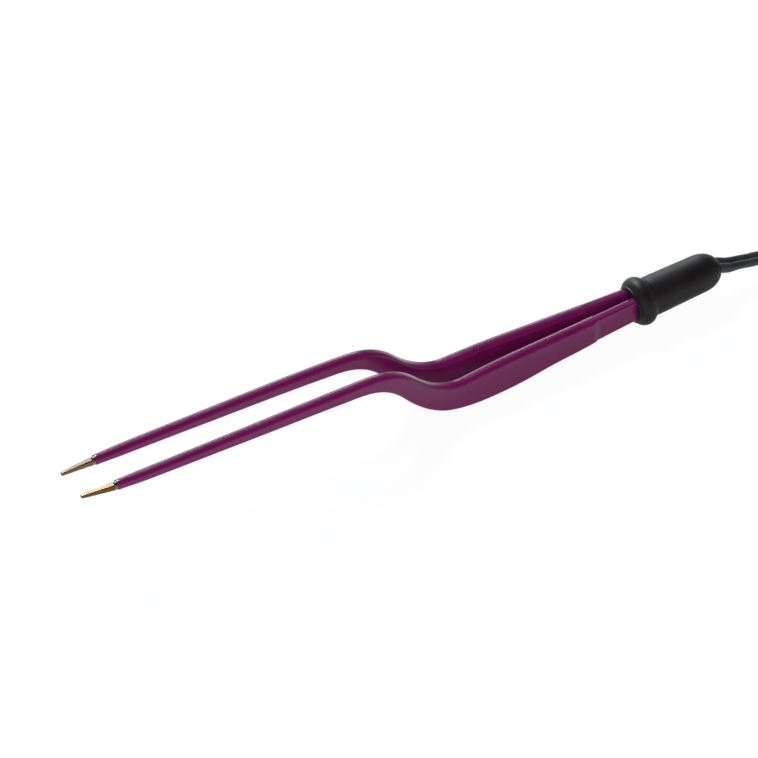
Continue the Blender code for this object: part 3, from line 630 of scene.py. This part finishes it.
bmesh.ops.inset_region(plug_bm, faces=[blunt], thickness=0.00005, depth=-POCKET_DEPTH)
plug_body = put(plug_bm, "plug_grip_body", plug_rubber, "boot_and_lead", ("plug_body",))
print("pocket's area in mm2 and corners:", round(pocket_size[0] * 1e6, 1), pocket_size[1])

# %% The bars across the grip
BAR_LENGTHS = (0.022, 0.024, 0.024)
BAR_RADIUS = 0.0007
BAR_START = 0.3195
BAR_SPACING = 0.0030
SMALL_ROUNDING = 0.0003
bars_bm = bmesh.new()
for turn in (1.0, -1.0):
    for number, length in enumerate(BAR_LENGTHS):
        made = bmesh.ops.create_cone(
            bars_bm, cap_ends=True, segments=16, radius1=BAR_RADIUS, radius2=BAR_RADIUS, depth=length
        )
        place = Matrix.Translation((
            BAR_START + BAR_SPACING * number,
            0.0,
            PLUG_THICKNESS / 2 + turn * (PLUG_THICKNESS / 2 - BAR_RADIUS),
        ))
        bmesh.ops.transform(bars_bm, matrix=place @ Matrix.Rotation(math.pi / 2, 4, "X"), verts=made["verts"])
round_edges(bars_bm, sharp_edges(bars_bm, 60), SMALL_ROUNDING, 3)
plug_bars = put(bars_bm, "plug_grip_bars", plug_rubber, "boot_and_lead")

# %% The insert
INSERT_SIZE = (0.0030, 0.0328, 0.0078)
insert_bm = bmesh.new()
bmesh.ops.create_cube(insert_bm, size=1.0)
bmesh.ops.scale(insert_bm, vec=INSERT_SIZE, verts=insert_bm.verts)
insert_place = (PLUG_FRONT - INSERT_SIZE[0] / 2, 0.0, PLUG_THICKNESS / 2)
bmesh.ops.translate(insert_bm, vec=insert_place, verts=insert_bm.verts)
round_edges(insert_bm, list(insert_bm.edges), SMALL_ROUNDING, 3)
plug_insert = put(insert_bm, "plug_front_insert", insert_plastic, "boot_and_lead", ("plug_insert",))

# %% [markdown]
# Pins, the sleeve and the boot are all turned parts. Each is half a profile, drawn as points of radius and length,
# and spun once round its axis. Points on the axis and the seam are merged afterwards, so the mesh is closed.

# %% Spin a profile
def turned(profile, steps, place):
    """A closed shape of revolution from (radius, height) points, placed by a matrix."""
    bm = bmesh.new()
    line = [bm.verts.new((radius, 0.0, height)) for radius, height in profile]
    edges = [bm.edges.new(pair) for pair in zip(line, line[1:])]
    bmesh.ops.spin(
        bm,
        geom=line + edges,
        cent=(0, 0, 0),
        axis=(0, 0, 1),
        dvec=(0, 0, 0),
        angle=2 * math.pi,
        steps=steps,
        space=Matrix.Identity(4),
        use_merge=True,
        use_normal_flip=False,
        use_duplicate=False,
    )
    bmesh.ops.remove_doubles(bm, verts=bm.verts, dist=1e-6)
    bmesh.ops.transform(bm, matrix=place, verts=bm.verts)
    return bm


def arc(centre, radius_r, radius_z, start, end, count):
    """Points of (radius, height) on an arc, with angles in degrees from the radius direction."""
    points = []
    for i in range(count + 1):
        angle = math.radians(start + (end - start) * i / count)
        points.append((centre[0] + radius_r * math.cos(angle), centre[1] + radius_z * math.sin(angle)))
    return points


print("turning helpers are ready")

# %% The two pins
PIN_RADIUS = 0.002
PIN_LENGTH = 0.017
PIN_HALF_SPACING = 0.01425
PIN_POINT = 0.0009
PIN_ROOT = -0.0028


def toward_pins(x, y=0.0):
    """A frame in the plug's middle plane whose Z axis points along X."""
    turn = Matrix(((0, 0, 1), (1, 0, 0), (0, 1, 0)))
    return Matrix.Translation((x, y, PLUG_THICKNESS / 2)) @ turn.to_4x4()


pin_profile = [(0.0, PIN_LENGTH)]
pin_profile += arc((PIN_RADIUS - PIN_POINT, PIN_LENGTH - PIN_POINT), PIN_POINT, PIN_POINT, 90, 0, 8)
pin_profile += [(PIN_RADIUS, 0.0012), (PIN_RADIUS - 0.0002, 0.0009), (PIN_RADIUS - 0.0002, 0.0004)]
pin_profile += [(PIN_RADIUS, 0.0001), (PIN_RADIUS, PIN_ROOT), (0.0, PIN_ROOT)]
for number, way in (("1", -1), ("2", 1)):
    pin_bm = turned(pin_profile, 40, toward_pins(PLUG_FRONT, way * PIN_HALF_SPACING))
    put(pin_bm, f"pin_{number}", nickel, "boot_and_lead", (f"plug_pin_{number}",))

# %% The ribbed sleeve
SLEEVE_X = 0.297
SLEEVE_LENGTH = 0.015
SLEEVE_WIDE = 0.0046
SLEEVE_NARROW = 0.0034
RIBBED_LENGTH = 0.0105
RIB_SPACING = 0.0019
sleeve_profile = [(0.0, SLEEVE_LENGTH), (SLEEVE_WIDE, SLEEVE_LENGTH), (SLEEVE_WIDE, RIBBED_LENGTH)]
for number in range(5):
    top = 0.0100 - RIB_SPACING * number
    wide = SLEEVE_NARROW + (SLEEVE_WIDE - SLEEVE_NARROW) * top / RIBBED_LENGTH
    sleeve_profile += [(wide - 0.0006, top), (wide - 0.0006, top - 0.0006)]
    sleeve_profile += arc((wide - 0.0004, top - 0.0011), 0.0004, 0.00045, 80, -80, 5)
sleeve_profile += [(0.0030, 0.0), (0.0027, 0.0002), (0.0027, 0.009), (0.0, 0.009)]
sleeve_bm = turned(sleeve_profile, 48, toward_pins(SLEEVE_X))
plug_sleeve = put(sleeve_bm, "plug_sleeve", plug_rubber, "boot_and_lead", ("plug_relief",))

# %% List the pieces on the lead
ON_THE_LEAD = [tie_band, tie_tab, plug_body, plug_bars, plug_insert, plug_sleeve]
ON_THE_LEAD += [bpy.data.objects["pin_1"], bpy.data.objects["pin_2"]]

# %% [markdown]
# ## The boot
#
# The black rubber boot holds the rear ends of both arms. It has a round bead at its mouth, a soft hollow behind
# it, a slightly tapered barrel and a full dome that the lead leaves through. It leans up by a few degrees, so that
# the bead stands on the surface. A cylinder with loop cuts could be scaled into this shape ring by ring. A profile
# is easier to read, and the turning helper spins it in one step.

# %% The boot's rubber
boot_rubber = textured(
    "satin black boot rubber",
    shades=((0.0040, 0.0029, 0.0030), (0.0075, 0.0060, 0.0062)),
    patches=(0.011, 3.0),
    roughness=(0.47, 0.56),
    wear=(0.004, 3.0),
    bumps=(((0.0022, 2.0), 0.00002), ((0.0003, 2.0), 0.000004)),
)
fix(boot_rubber, "Specular IOR Level", 0.27)
print("finish:", boot_rubber.name)

# %% The boot's profile
MOUTH_X = 0.079
BOOT_LENGTH = 0.031 / math.cos(BOOT_TILT)
BEAD_LENGTH = 0.0058
BULGE = 0.9 * BEAD_LENGTH / 2
BEAD_CORE = BEAD_RADIUS - BULGE
FRONT_RADIUS = 0.00609
REAR_RADIUS = 0.00579
DOME_LENGTH = 0.0078
DOME_FULLNESS = 0.85
DOME_STEPS = 20
BARREL_FRONT = 0.0092
MOUTH_RADIUS = 0.0054
BORE_RADIUS = 0.0049
LIP = 0.0004

lip_radius = MOUTH_RADIUS + LIP
lip_angle = math.acos((lip_radius - BEAD_CORE) / BULGE)
lip_height = BEAD_LENGTH / 2 * (1 - math.sin(lip_angle))
boot_profile = [(0.0, BOOT_LENGTH)]
for i in range(1, DOME_STEPS + 1):
    turn = math.radians(90 - 90 * i / DOME_STEPS)
    up = math.sin(turn) ** DOME_FULLNESS if i < DOME_STEPS else 0.0
    boot_profile.append((REAR_RADIUS * math.cos(turn), BOOT_LENGTH - DOME_LENGTH * (1 - up)))
barrel = [(BOOT_LENGTH - DOME_LENGTH) * (1 - i / 6) + BARREL_FRONT * i / 6 for i in range(1, 6)]
for height in barrel:
    share = (height - BEAD_LENGTH) / (BOOT_LENGTH - DOME_LENGTH - BEAD_LENGTH)
    boot_profile.append((FRONT_RADIUS + (REAR_RADIUS - FRONT_RADIUS) * share, height))
boot_profile += [(0.00606, BARREL_FRONT), (0.00604, 0.0087), (0.00604, 0.0081), (0.00606, 0.0075)]
boot_profile += [(0.00606, 0.0069), (0.00604, 0.0064), (0.00601, 0.0060)]
boot_profile += arc((BEAD_CORE, BEAD_LENGTH / 2), BULGE, BEAD_LENGTH / 2, 50, -math.degrees(lip_angle), 22)
boot_profile += arc((lip_radius, lip_height + LIP), LIP, LIP, -125, -180, 4)
boot_profile += [(MOUTH_RADIUS, 0.0066), (MOUTH_RADIUS - 0.0001, 0.0068), (BORE_RADIUS + 0.0001, 0.0072)]
boot_profile += [(BORE_RADIUS, 0.0074), (BORE_RADIUS, 0.0246), (BORE_RADIUS - 0.0004, 0.0250), (0.0, 0.0250)]
print("profile points:", len(boot_profile))

# %% Spin the boot
axis = Vector((math.cos(BOOT_TILT), 0, math.sin(BOOT_TILT)))
across = Vector((0, 1, 0))
boot_turn = Matrix((across, axis.cross(across), axis)).transposed().to_4x4()
boot_place = Matrix.Translation((MOUTH_X, 0, boot_axis_height(MOUTH_X))) @ boot_turn
boot_bm = turned(boot_profile, 96, boot_place)
put(boot_bm, "rubber_boot", boot_rubber, "boot_and_lead", ("boot",), 50.0)

# %% [markdown]
# ## The arms' coats
#
# Each arm is a flat steel spring in a thin purple nylon coat. From the side its two edges run level along the
# shaft, drop in the bayonet bend and belly out at the handle. From above it bows out, and at the heel it steps in
# to a narrower strip that the boot grips. Its faces are slightly crowned, as a dipped coat leaves them. A box could
# be bent with lattices, but the photograph fixes both edges. So each outline is a rounded rectangle whose top,
# bottom, side place, width, rounding and crown are read from smooth curves through a few knots.

# %% The curves of an arm
def value_at(knots, x):
    """Height of a smooth curve through knots of (x, height, slope)."""
    if x <= knots[0][0]:
        return knots[0][1] + knots[0][2] * (x - knots[0][0])
    for (x0, h0, s0), (x1, h1, s1) in zip(knots, knots[1:]):
        if x <= x1:
            break
    span = x1 - x0
    t = min((x - x0) / span, 1.0)
    start = (2 * t**3 - 3 * t**2 + 1) * h0 + (t**3 - 2 * t**2 + t) * span * s0
    return start + (3 * t**2 - 2 * t**3) * h1 + (t**3 - t**2) * span * s1


X_TIP = -0.110
X_NOSE = -0.0994
X_FRONT = -0.0985
X_COAT_END = 0.084
HEEL_CENTRE = boot_axis_height(X_COAT_END)
HEEL_DEPTH = 0.0075
X_HEEL = 0.0640
STEP_LENGTH = 0.00012
TOP_EDGE = (
    (X_FRONT, 0.0255, 0.0),
    (-0.05725, 0.0255, 0.0),
    (-0.016, 0.0252, -0.03),
    (0.001, 0.0109 + 0.505 * 0.0146, -1.02),
    (0.018, 0.0101, 0.07),
    (0.038, 0.0109, 0.0),
    (X_COAT_END, HEEL_CENTRE + HEEL_DEPTH / 2 - 0.00005, 0.02),
)
BOTTOM_EDGE = (
    (X_FRONT, 0.0229, 0.0),
    (-0.0885, 0.0227, -0.02),
    (-0.05725, 0.0221, -0.02),
    (-0.024, 0.0214, -0.04),
    (-0.004, 0.0109 + 0.206 * 0.0146, -1.18),
    (0.013, 0.0016, -0.26),
    (0.028, 0.0, 0.0),
    (0.044, 0.0011, 0.145),
    (0.060, 0.00252, 0.098),
    (X_HEEL, 0.00291, 0.100),
    (X_HEEL + STEP_LENGTH, 0.00315, 0.078),
    (0.0757, 0.00390, 0.060),
    (X_COAT_END, HEEL_CENTRE - HEEL_DEPTH / 2 + 0.0004, 0.04),
)
PLAN_LINE = (
    (X_TIP, 0.0057, 0.060),
    (X_FRONT, 0.006375, 0.020),
    (-0.05725, 0.0065, 0.0),
    (0.001, 0.0058, -0.027),
    (0.038, 0.004275, -0.048),
    (X_HEEL, 0.00309, -0.049),
    (X_HEEL + STEP_LENGTH, 0.00320, -0.049),
    (0.0793, 0.00246, -0.052),
    (X_COAT_END, 0.00205, -0.052),
)
WIDTHS = (
    (X_FRONT, 0.0025, 0.06),
    (-0.0885, 0.0031, 0.0),
    (-0.016, 0.0034, 0.0),
    (0.028, 0.00375, 0.0),
    (X_HEEL, 0.00375, 0.0),
    (X_HEEL + STEP_LENGTH, 0.00275, 0.0),
    (X_COAT_END, 0.00275, 0.0),
)
ROUNDINGS = (
    (X_FRONT, 0.0008, 0.0),
    (-0.016, 0.0008, 0.0),
    (0.028, 0.0010, 0.0),
    (X_HEEL, 0.0010, 0.0),
    (X_HEEL + STEP_LENGTH, 0.00055, 0.0),
    (X_COAT_END, 0.00055, 0.0),
)
CROWNS = (
    (X_FRONT, 0.00055, 0.0),
    (X_HEEL - 0.002, 0.00055, 0.0),
    (X_HEEL + STEP_LENGTH, 0.0001, 0.0),
    (X_COAT_END, 0.0001, 0.0),
)
print("heel centre in mm:", round(HEEL_CENTRE * 1000, 2))

# %% Outlines along an arm
FRONT_ROUNDING = 0.0001
CROWN_SHARE = 0.4
SPACINGS = (
    # from X, and the space between the outlines from there on
    (X_FRONT + FRONT_ROUNDING, 0.001),
    (-0.0885, 0.003),
    (-0.026, 0.0008),
    (0.028, 0.002),
    (X_HEEL, STEP_LENGTH / 8),
    (X_HEEL + STEP_LENGTH, 0.002),
    (X_COAT_END, 0.002),
)


def arm_places():
    """Places along X, close together in the bend and at the heel's step."""
    found = []
    for (first, step), (after, _) in zip(SPACINGS, SPACINGS[1:]):
        count = max(1, round((after - first) / step))
        found += [first + (after - first) * i / count for i in range(count)]
    return [*found, X_COAT_END]


def arm_outline(x, way, inset, arc_steps=6):
    """The arm's outline at x, smaller by inset all round, with its top slightly crowned."""
    crown = value_at(CROWNS, x)
    top = value_at(TOP_EDGE, x) + CROWN_SHARE * crown
    bottom = value_at(BOTTOM_EDGE, x)
    middle = Vector((x, way * value_at(PLAN_LINE, x), (top + bottom) / 2))
    height = top - bottom - 2 * inset
    width = value_at(WIDTHS, x) + CROWN_SHARE * crown - 2 * inset
    outline = rounded_outline(*middle, width, height, value_at(ROUNDINGS, x) - inset, arc_steps)
    for point in outline:
        across = (point.y - middle.y) / (width / 2)
        point.z -= crown * across**2 * max(0.0, (point.z - middle.z) / (height / 2))
    return outline


print("places along an arm:", len(arm_places()))

# %% [markdown]
# The boot is closed round the arms by a disc in its lip, with one hole for each arm. The holes follow the arms'
# outlines with a small gap, so that the arms can still turn. Three rings are enough: the disc's edge and the two
# holes are filled together with triangles, the sheet is extruded to its thickness, and the front edge is bevelled.

# %% The disc in the boot's mouth
DISC_FRONT = -0.0004
DISC_THICKNESS = 0.0010
DISC_RADIUS = 0.00585
ARM_GAP = 0.00025
disc_bm = bmesh.new()
turns = [2 * math.pi * i / 64 for i in range(64)]
loops = [[Vector((DISC_RADIUS * math.cos(turn), DISC_RADIUS * math.sin(turn), DISC_FRONT)) for turn in turns]]
for way in (-1, 1):
    hole = [boot_place.inverted() @ point for point in arm_outline(MOUTH_X + DISC_FRONT, way, -ARM_GAP)]
    loops.append([Vector((point.x, point.y, DISC_FRONT)) for point in hole])
rings = [start_ring(disc_bm, loop) for loop in loops]
edges = [edge for ring in rings for edge in ring_edges(disc_bm, ring)]
filled = bmesh.ops.triangle_fill(disc_bm, edges=edges, use_beauty=True, use_dissolve=False, normal=(0, 0, 1))
sheet = [item for item in filled["geom"] if isinstance(item, bmesh.types.BMFace)]
thick = bmesh.ops.extrude_face_region(disc_bm, geom=sheet)
back = [item for item in thick["geom"] if isinstance(item, bmesh.types.BMVert)]
bmesh.ops.translate(disc_bm, vec=(0, 0, DISC_THICKNESS), verts=back)
round_edges(disc_bm, ring_edges(disc_bm, rings[0]), SMALL_ROUNDING, 4)
bmesh.ops.transform(disc_bm, matrix=boot_place, verts=disc_bm.verts)
put(disc_bm, "mouth_disc", boot_rubber, "boot_and_lead")

# %% [markdown]
# The coat's finish is the first thing one sees: a deep magenta purple with a satin gloss. Its colour is almost pure,
# and the paler look of its sides is the pale surface mirrored in the gloss. So the base colour stays dark and
# saturated, and the gloss is left to the shader. A little pink sheen lightens the edges, and a slight orange peel
# breaks up the reflections.

# %% The coat's finish
coat = textured(
    "purple nylon coat",
    shades=((0.103, 0.0028, 0.055), (0.117, 0.0042, 0.063)),
    patches=(0.010, 3.0),
    roughness=(0.19, 0.25),
    wear=(0.003, 3.0),
    bumps=(((0.0020, 2.0), 0.000005),),
)
fix(coat, "Specular IOR Level", 0.32)
fix(coat, "Sheen Weight", 0.1)
fix(coat, "Sheen Roughness", 0.3)
fix(coat, "Sheen Tint", (1.0, 0.5, 0.8, 1.0))
print("finish:", coat.name)

# %% Sweep the two coats
COAT_WALL = 0.0002


def coat_mesh(way):
    """The coat as a hollow sleeve: along its outside, round its rear edge and back along its inside."""
    outside = [arm_outline(x, way, 0.0) for x in arm_places()]
    front = [
        arm_outline(X_FRONT, way, COAT_WALL),
        arm_outline(X_FRONT, way, FRONT_ROUNDING),
        arm_outline(X_FRONT + 0.00003, way, 0.00003),
    ]
    inside = [arm_outline(x, way, COAT_WALL) for x in arm_places()[::-1] if x > X_FRONT + 0.0005]
    return sweep([*front, *outside, *inside], closed=True)


SIDES = {"left": -1, "right": 1}
for word, way in SIDES.items():
    put(coat_mesh(way), f"coat_{word}", coat, f"{word}_arm", (f"insulation_{word}",), 60.0)

# %% [markdown]
# ## The steel blade and the gold-plated tip
#
# A millimetre of bare steel shows where the coat stops, and the plated tip tapers from there to its rounded end,
# one millimetre across. Steel and plating are metals, so their look is nearly all reflection. One helper also paints
# light and shade into the colour from the slope: each metal gets one painted shade on its sides and another on its
# top, lighter or darker as its reflections there should look. The two tips get a lit and a shaded copy of the gold.

# %% Steel and gold plating
def metal_with_painted_shade(name, side, top):
    """A polished metal with painted light and shade: one colour on its sides and another on its top."""
    finish = new_finish(name, 1.0)
    nodes, links = finish.node_tree.nodes, finish.node_tree.links
    surface = nodes.new("ShaderNodeNewGeometry")
    parts = nodes.new("ShaderNodeSeparateXYZ")
    links.new(surface.outputs["Normal"], parts.inputs["Vector"])
    # painted light and shade: the base colour runs from the side colour to the top colour as the surface turns upward
    feed(finish, "Base Color", colours(finish, parts.outputs["Z"], side, top, 0.08, 0.6))
    feed(finish, "Roughness", between(finish, spots(finish, 0.0012, 3.0), 0.30, 0.37))
    add_bump(finish, spots(finish, 0.0015, 2.0), 0.000001)
    return finish


# the steel's top is painted darker than its sides, a painted shade that dulls its mirrored highlight
steel = metal_with_painted_shade("ground stainless steel, top painted darker", (0.20, 0.18, 0.19), (0.11, 0.10, 0.105))
# a lit and a shaded copy of the gold: the left tip has a painted bright top over painted darker sides, the right tip
# a painted duller top
gold = {
    "left": metal_with_painted_shade("gold plating, top painted bright", (0.13, 0.073, 0.030), (0.215, 0.142, 0.070)),
    "right": metal_with_painted_shade("gold plating, painted duller", (0.19, 0.110, 0.056), (0.13, 0.092, 0.057)),
}
print("finishes:", steel.name, *(finish.name for finish in gold.values()))

# %% Sweep the two blades
BLADE_FIT = 0.00026
NOSE_BEVEL = 0.00008
NOSE_DROP = 0.0003
NOSE_MIDDLE = 0.0242
TANG_SPACING = 0.004
TANG_PLACES = (X_COAT_END + 0.0006, 0.096)
TANG_SECTION = (0.0012, 0.0050, 0.0003)


def nose_outline(way, x, inset):
    """The blade's front outline moved forward to x, with its upper half a little lower than the coat's."""
    outline = arm_outline(X_FRONT, way, inset, 4)
    for point in outline:
        point.x = x
        if point.z > NOSE_MIDDLE:
            point.z -= NOSE_DROP
    return outline


def blade_mesh(way):
    nose = [nose_outline(way, X_NOSE, BLADE_FIT + NOSE_BEVEL), nose_outline(way, X_NOSE + NOSE_BEVEL, BLADE_FIT)]
    body = [arm_outline(x, way, BLADE_FIT, 4) for x in (X_FRONT, *arm_places())]
    tang = []
    for x in TANG_PLACES:
        tang.append(rounded_outline(x, way * TANG_SPACING / 2, boot_axis_height(x), *TANG_SECTION, 4))
    return sweep([*nose, *body, *tang])


for word, way in SIDES.items():
    put(blade_mesh(way), f"steel_blade_{word}", steel, f"{word}_arm", (f"blade_{word}",))

# %% Sweep the two tips
TIP_SIZE = 0.0010
TIP_ROOT_SIZE = 0.00196
TIP_END = -0.1096
TIP_LENGTH = 0.0102
TIP_HEIGHT = 0.0241
TIP_LIFT = 0.0004
TIP_ROUND = 0.00042
TIP_GAP = 0.00002


def tip_mesh(way):
    """A straight taper with a rounded end, from the end back to the root."""
    stations = []
    for i in range(1, 9):
        angle = math.pi / 2 * i / 8
        stations.append((TIP_END + TIP_ROUND * (1 - math.cos(angle)), 0.30 + 0.70 * math.sin(angle)))
    stations += [(TIP_END + TIP_ROUND + (TIP_LENGTH - TIP_ROUND - TIP_GAP) * i / 8, 1.0) for i in range(1, 9)]
    outlines = []
    for x, share in stations:
        along = (x - TIP_END) / TIP_LENGTH
        size = share * (TIP_SIZE + (TIP_ROOT_SIZE - TIP_SIZE) * along)
        height = TIP_HEIGHT + TIP_LIFT * (1 - along)
        outlines.append(rounded_outline(x, way * value_at(PLAN_LINE, x), height, size, size, 0.2 * size, 6))
    return sweep(outlines)


for word, way in SIDES.items():
    put(tip_mesh(way), f"gold_tip_{word}", gold[word], f"{word}_arm", (f"tip_{word}",), 60.0)

# %% [markdown]
# ## What the boot hides
#
# In the boot, a black block keeps the two tangs apart, and each tang ends in a terminal with the bare strands of
# one core. Their solids are already right, so they stay and only get better finishes.

# %% Finishes for the block, the terminals and the strands
def dress(node_name, finish):
    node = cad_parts[node_name]
    if not node.material_slots:
        node.data.materials.append(finish)
    for slot in node.material_slots:
        slot.material = finish


def hidden_metal(name, shades, roughness, noise, depth):
    return textured(name, shades, noise, roughness, noise, ((noise, depth),), 1.0)


block_plastic = moulded(
    "matte black block", ((0.009, 0.009, 0.010), (0.014, 0.014, 0.015)), (0.45, 0.6), 0.00025
)
tinned = hidden_metal("tinned brass", ((0.58, 0.54, 0.44), (0.72, 0.69, 0.60)), (0.28, 0.45), (0.0008, 3.0), 0.00001)
WIRES = (0.0002, 1.0, (20.0, 1.0, 1.0))
copper = hidden_metal("bare copper strands", ((0.52, 0.22, 0.12), (0.80, 0.40, 0.24)), (0.25, 0.42), WIRES, 0.00004)
dress("spacer_block", block_plastic)
for word in SIDES:
    dress(f"terminal_{word}", tinned)
    dress(f"strands_{word}", copper)
print("dressed:", block_plastic.name, tinned.name, copper.name)

# %% [markdown]
# ## Floor, light and world
#
# The instrument lies on a plain white surface in soft light. The floor is pale paper to every lamp. The camera sees
# it lifted almost to pure white, so that only a faint shadow is left, and mirrors see it lifted a little. More light
# would whiten it too, but it would wash out the purple. Four soft boxes do the rest: a broad one behind that draws
# the pale line along the top edges, a small one high behind that lights the rims, a weak one in front, and a broad
# one by the camera that lights the sides and shows in no mirror.

# %% The floor
FLOOR_HALF_SIZE = 6.0
FLOOR_HEIGHT = -0.00005
FLOOR_LIFT = 0.94
MIRRORED_LIFT = 0.25
floor_bm = bmesh.new()
bmesh.ops.create_grid(floor_bm, x_segments=1, y_segments=1, size=FLOOR_HALF_SIZE)
bmesh.ops.translate(floor_bm, vec=(0, 0, FLOOR_HEIGHT), verts=floor_bm.verts)
floor_mesh = bpy.data.meshes.new("floor")
floor_bm.to_mesh(floor_mesh)
floor_bm.free()
floor = bpy.data.objects.new("floor", floor_mesh)
bpy.context.scene.collection.objects.link(floor)
paper = new_finish("white paper")
fix(paper, "Roughness", 0.9)
fix(paper, "Base Color", (0.8, 0.8, 0.8, 1.0))
fix(paper, "Specular IOR Level", 0.0)
floor_nodes, floor_links = paper.node_tree.nodes, paper.node_tree.links
glow = floor_nodes.new("ShaderNodeEmission")
glow.inputs["Strength"].default_value = 1.0
path = floor_nodes.new("ShaderNodeLightPath")


def lift_for(rays, amount):
    """The amount for rays of this kind and 0 for the others."""
    part = floor_nodes.new("ShaderNodeMath")
    part.operation = "MULTIPLY"
    part.inputs[1].default_value = amount
    floor_links.new(path.outputs[rays], part.inputs[0])
    return part.outputs[0]


def larger(first, second):
    node = floor_nodes.new("ShaderNodeMath")
    node.operation = "MAXIMUM"
    floor_links.new(first, node.inputs[0])
    floor_links.new(second, node.inputs[1])
    return node.outputs[0]


mirrored = larger(lift_for("Is Glossy Ray", MIRRORED_LIFT), lift_for("Is Transmission Ray", MIRRORED_LIFT))
lift = larger(lift_for("Is Camera Ray", FLOOR_LIFT), mirrored)
mix = floor_nodes.new("ShaderNodeMixShader")
floor_links.new(lift, mix.inputs["Fac"])
floor_links.new(shader_of(paper).outputs["BSDF"], mix.inputs[1])
floor_links.new(glow.outputs["Emission"], mix.inputs[2])
floor_links.new(mix.outputs["Shader"], floor_nodes["Material Output"].inputs["Surface"])
floor_mesh.materials.append(paper)
print("floor lifted for the camera by", FLOOR_LIFT, "and for mirrors by", MIRRORED_LIFT)

# %% The world: bright near the horizon, dim overhead
HORIZON = 0.3
OVERHEAD = 0.02
LOW_GLOW = 0.8
OVERHEAD_FROM = 0.72
SKY_STEPS = ((0.09, LOW_GLOW), (0.17, HORIZON), (0.3, HORIZON))
world = bpy.data.worlds.new("studio")
bpy.context.scene.world = world
world.use_nodes = True
sky_nodes, sky_links = world.node_tree.nodes, world.node_tree.links
sky_place = sky_nodes.new("ShaderNodeTexCoord")
sky_parts = sky_nodes.new("ShaderNodeSeparateXYZ")
sky_ramp = sky_nodes.new("ShaderNodeValToRGB")
sky_ramp.color_ramp.elements[0].color = (LOW_GLOW, LOW_GLOW, LOW_GLOW, 1.0)
sky_ramp.color_ramp.elements[1].position = OVERHEAD_FROM
sky_ramp.color_ramp.elements[1].color = (OVERHEAD, OVERHEAD, OVERHEAD, 1.0)
for height, brightness in SKY_STEPS:
    sky_ramp.color_ramp.elements.new(height).color = (brightness, brightness, brightness, 1.0)
sky_path = sky_nodes.new("ShaderNodeLightPath")
sky_mix = sky_nodes.new("ShaderNodeMix")
sky_mix.data_type = "RGBA"
sky_mix.inputs["B"].default_value = (1.0, 1.0, 1.0, 1.0)
sky_links.new(sky_place.outputs["Generated"], sky_parts.inputs["Vector"])
sky_links.new(sky_parts.outputs["Z"], sky_ramp.inputs["Fac"])
sky_links.new(sky_path.outputs["Is Camera Ray"], sky_mix.inputs["Factor"])
sky_links.new(sky_ramp.outputs["Color"], sky_mix.inputs["A"])
sky_links.new(sky_mix.outputs["Result"], sky_nodes["Background"].inputs["Color"])
print("world from", HORIZON, "to", OVERHEAD)

# %% The soft boxes
def soft_box(name, place, size, brightness, tint=(1.0, 1.0, 1.0)):
    """A flat lamp that faces the origin and whose face has the given brightness, where 1 is white."""
    lamp = bpy.data.lights.new(name, "AREA")
    lamp.shape = "RECTANGLE"
    lamp.size, lamp.size_y = size
    lamp.energy = brightness * math.pi * size[0] * size[1]
    lamp.color = tint
    box = bpy.data.objects.new(name, lamp)
    toward = Vector((0.0, 0.0, 0.0)) - Vector(place)
    box.matrix_world = Matrix.Translation(place) @ toward.to_track_quat("-Z", "Y").to_matrix().to_4x4()
    bpy.context.scene.collection.objects.link(box)
    return box


soft_box("back box", (0.27, 1.23, 0.55), (1.1, 0.40), 6.5, (0.92, 0.97, 1.0))
soft_box("rim box", (0.06, 0.98, 1.14), (0.45, 0.35), 46.0, (0.86, 0.94, 1.0))
soft_box("front box", (-1.1, -1.3, 0.6), (1.2, 1.2), 0.8)
side_box = soft_box("camera side box", (-0.8, -1.3, 1.3), (1.4, 1.4), 5.2)
side_box.visible_glossy = False

# %% Colour as written
bpy.context.scene.view_settings.view_transform = "Standard"
print("view transform:", bpy.context.scene.view_settings.view_transform)
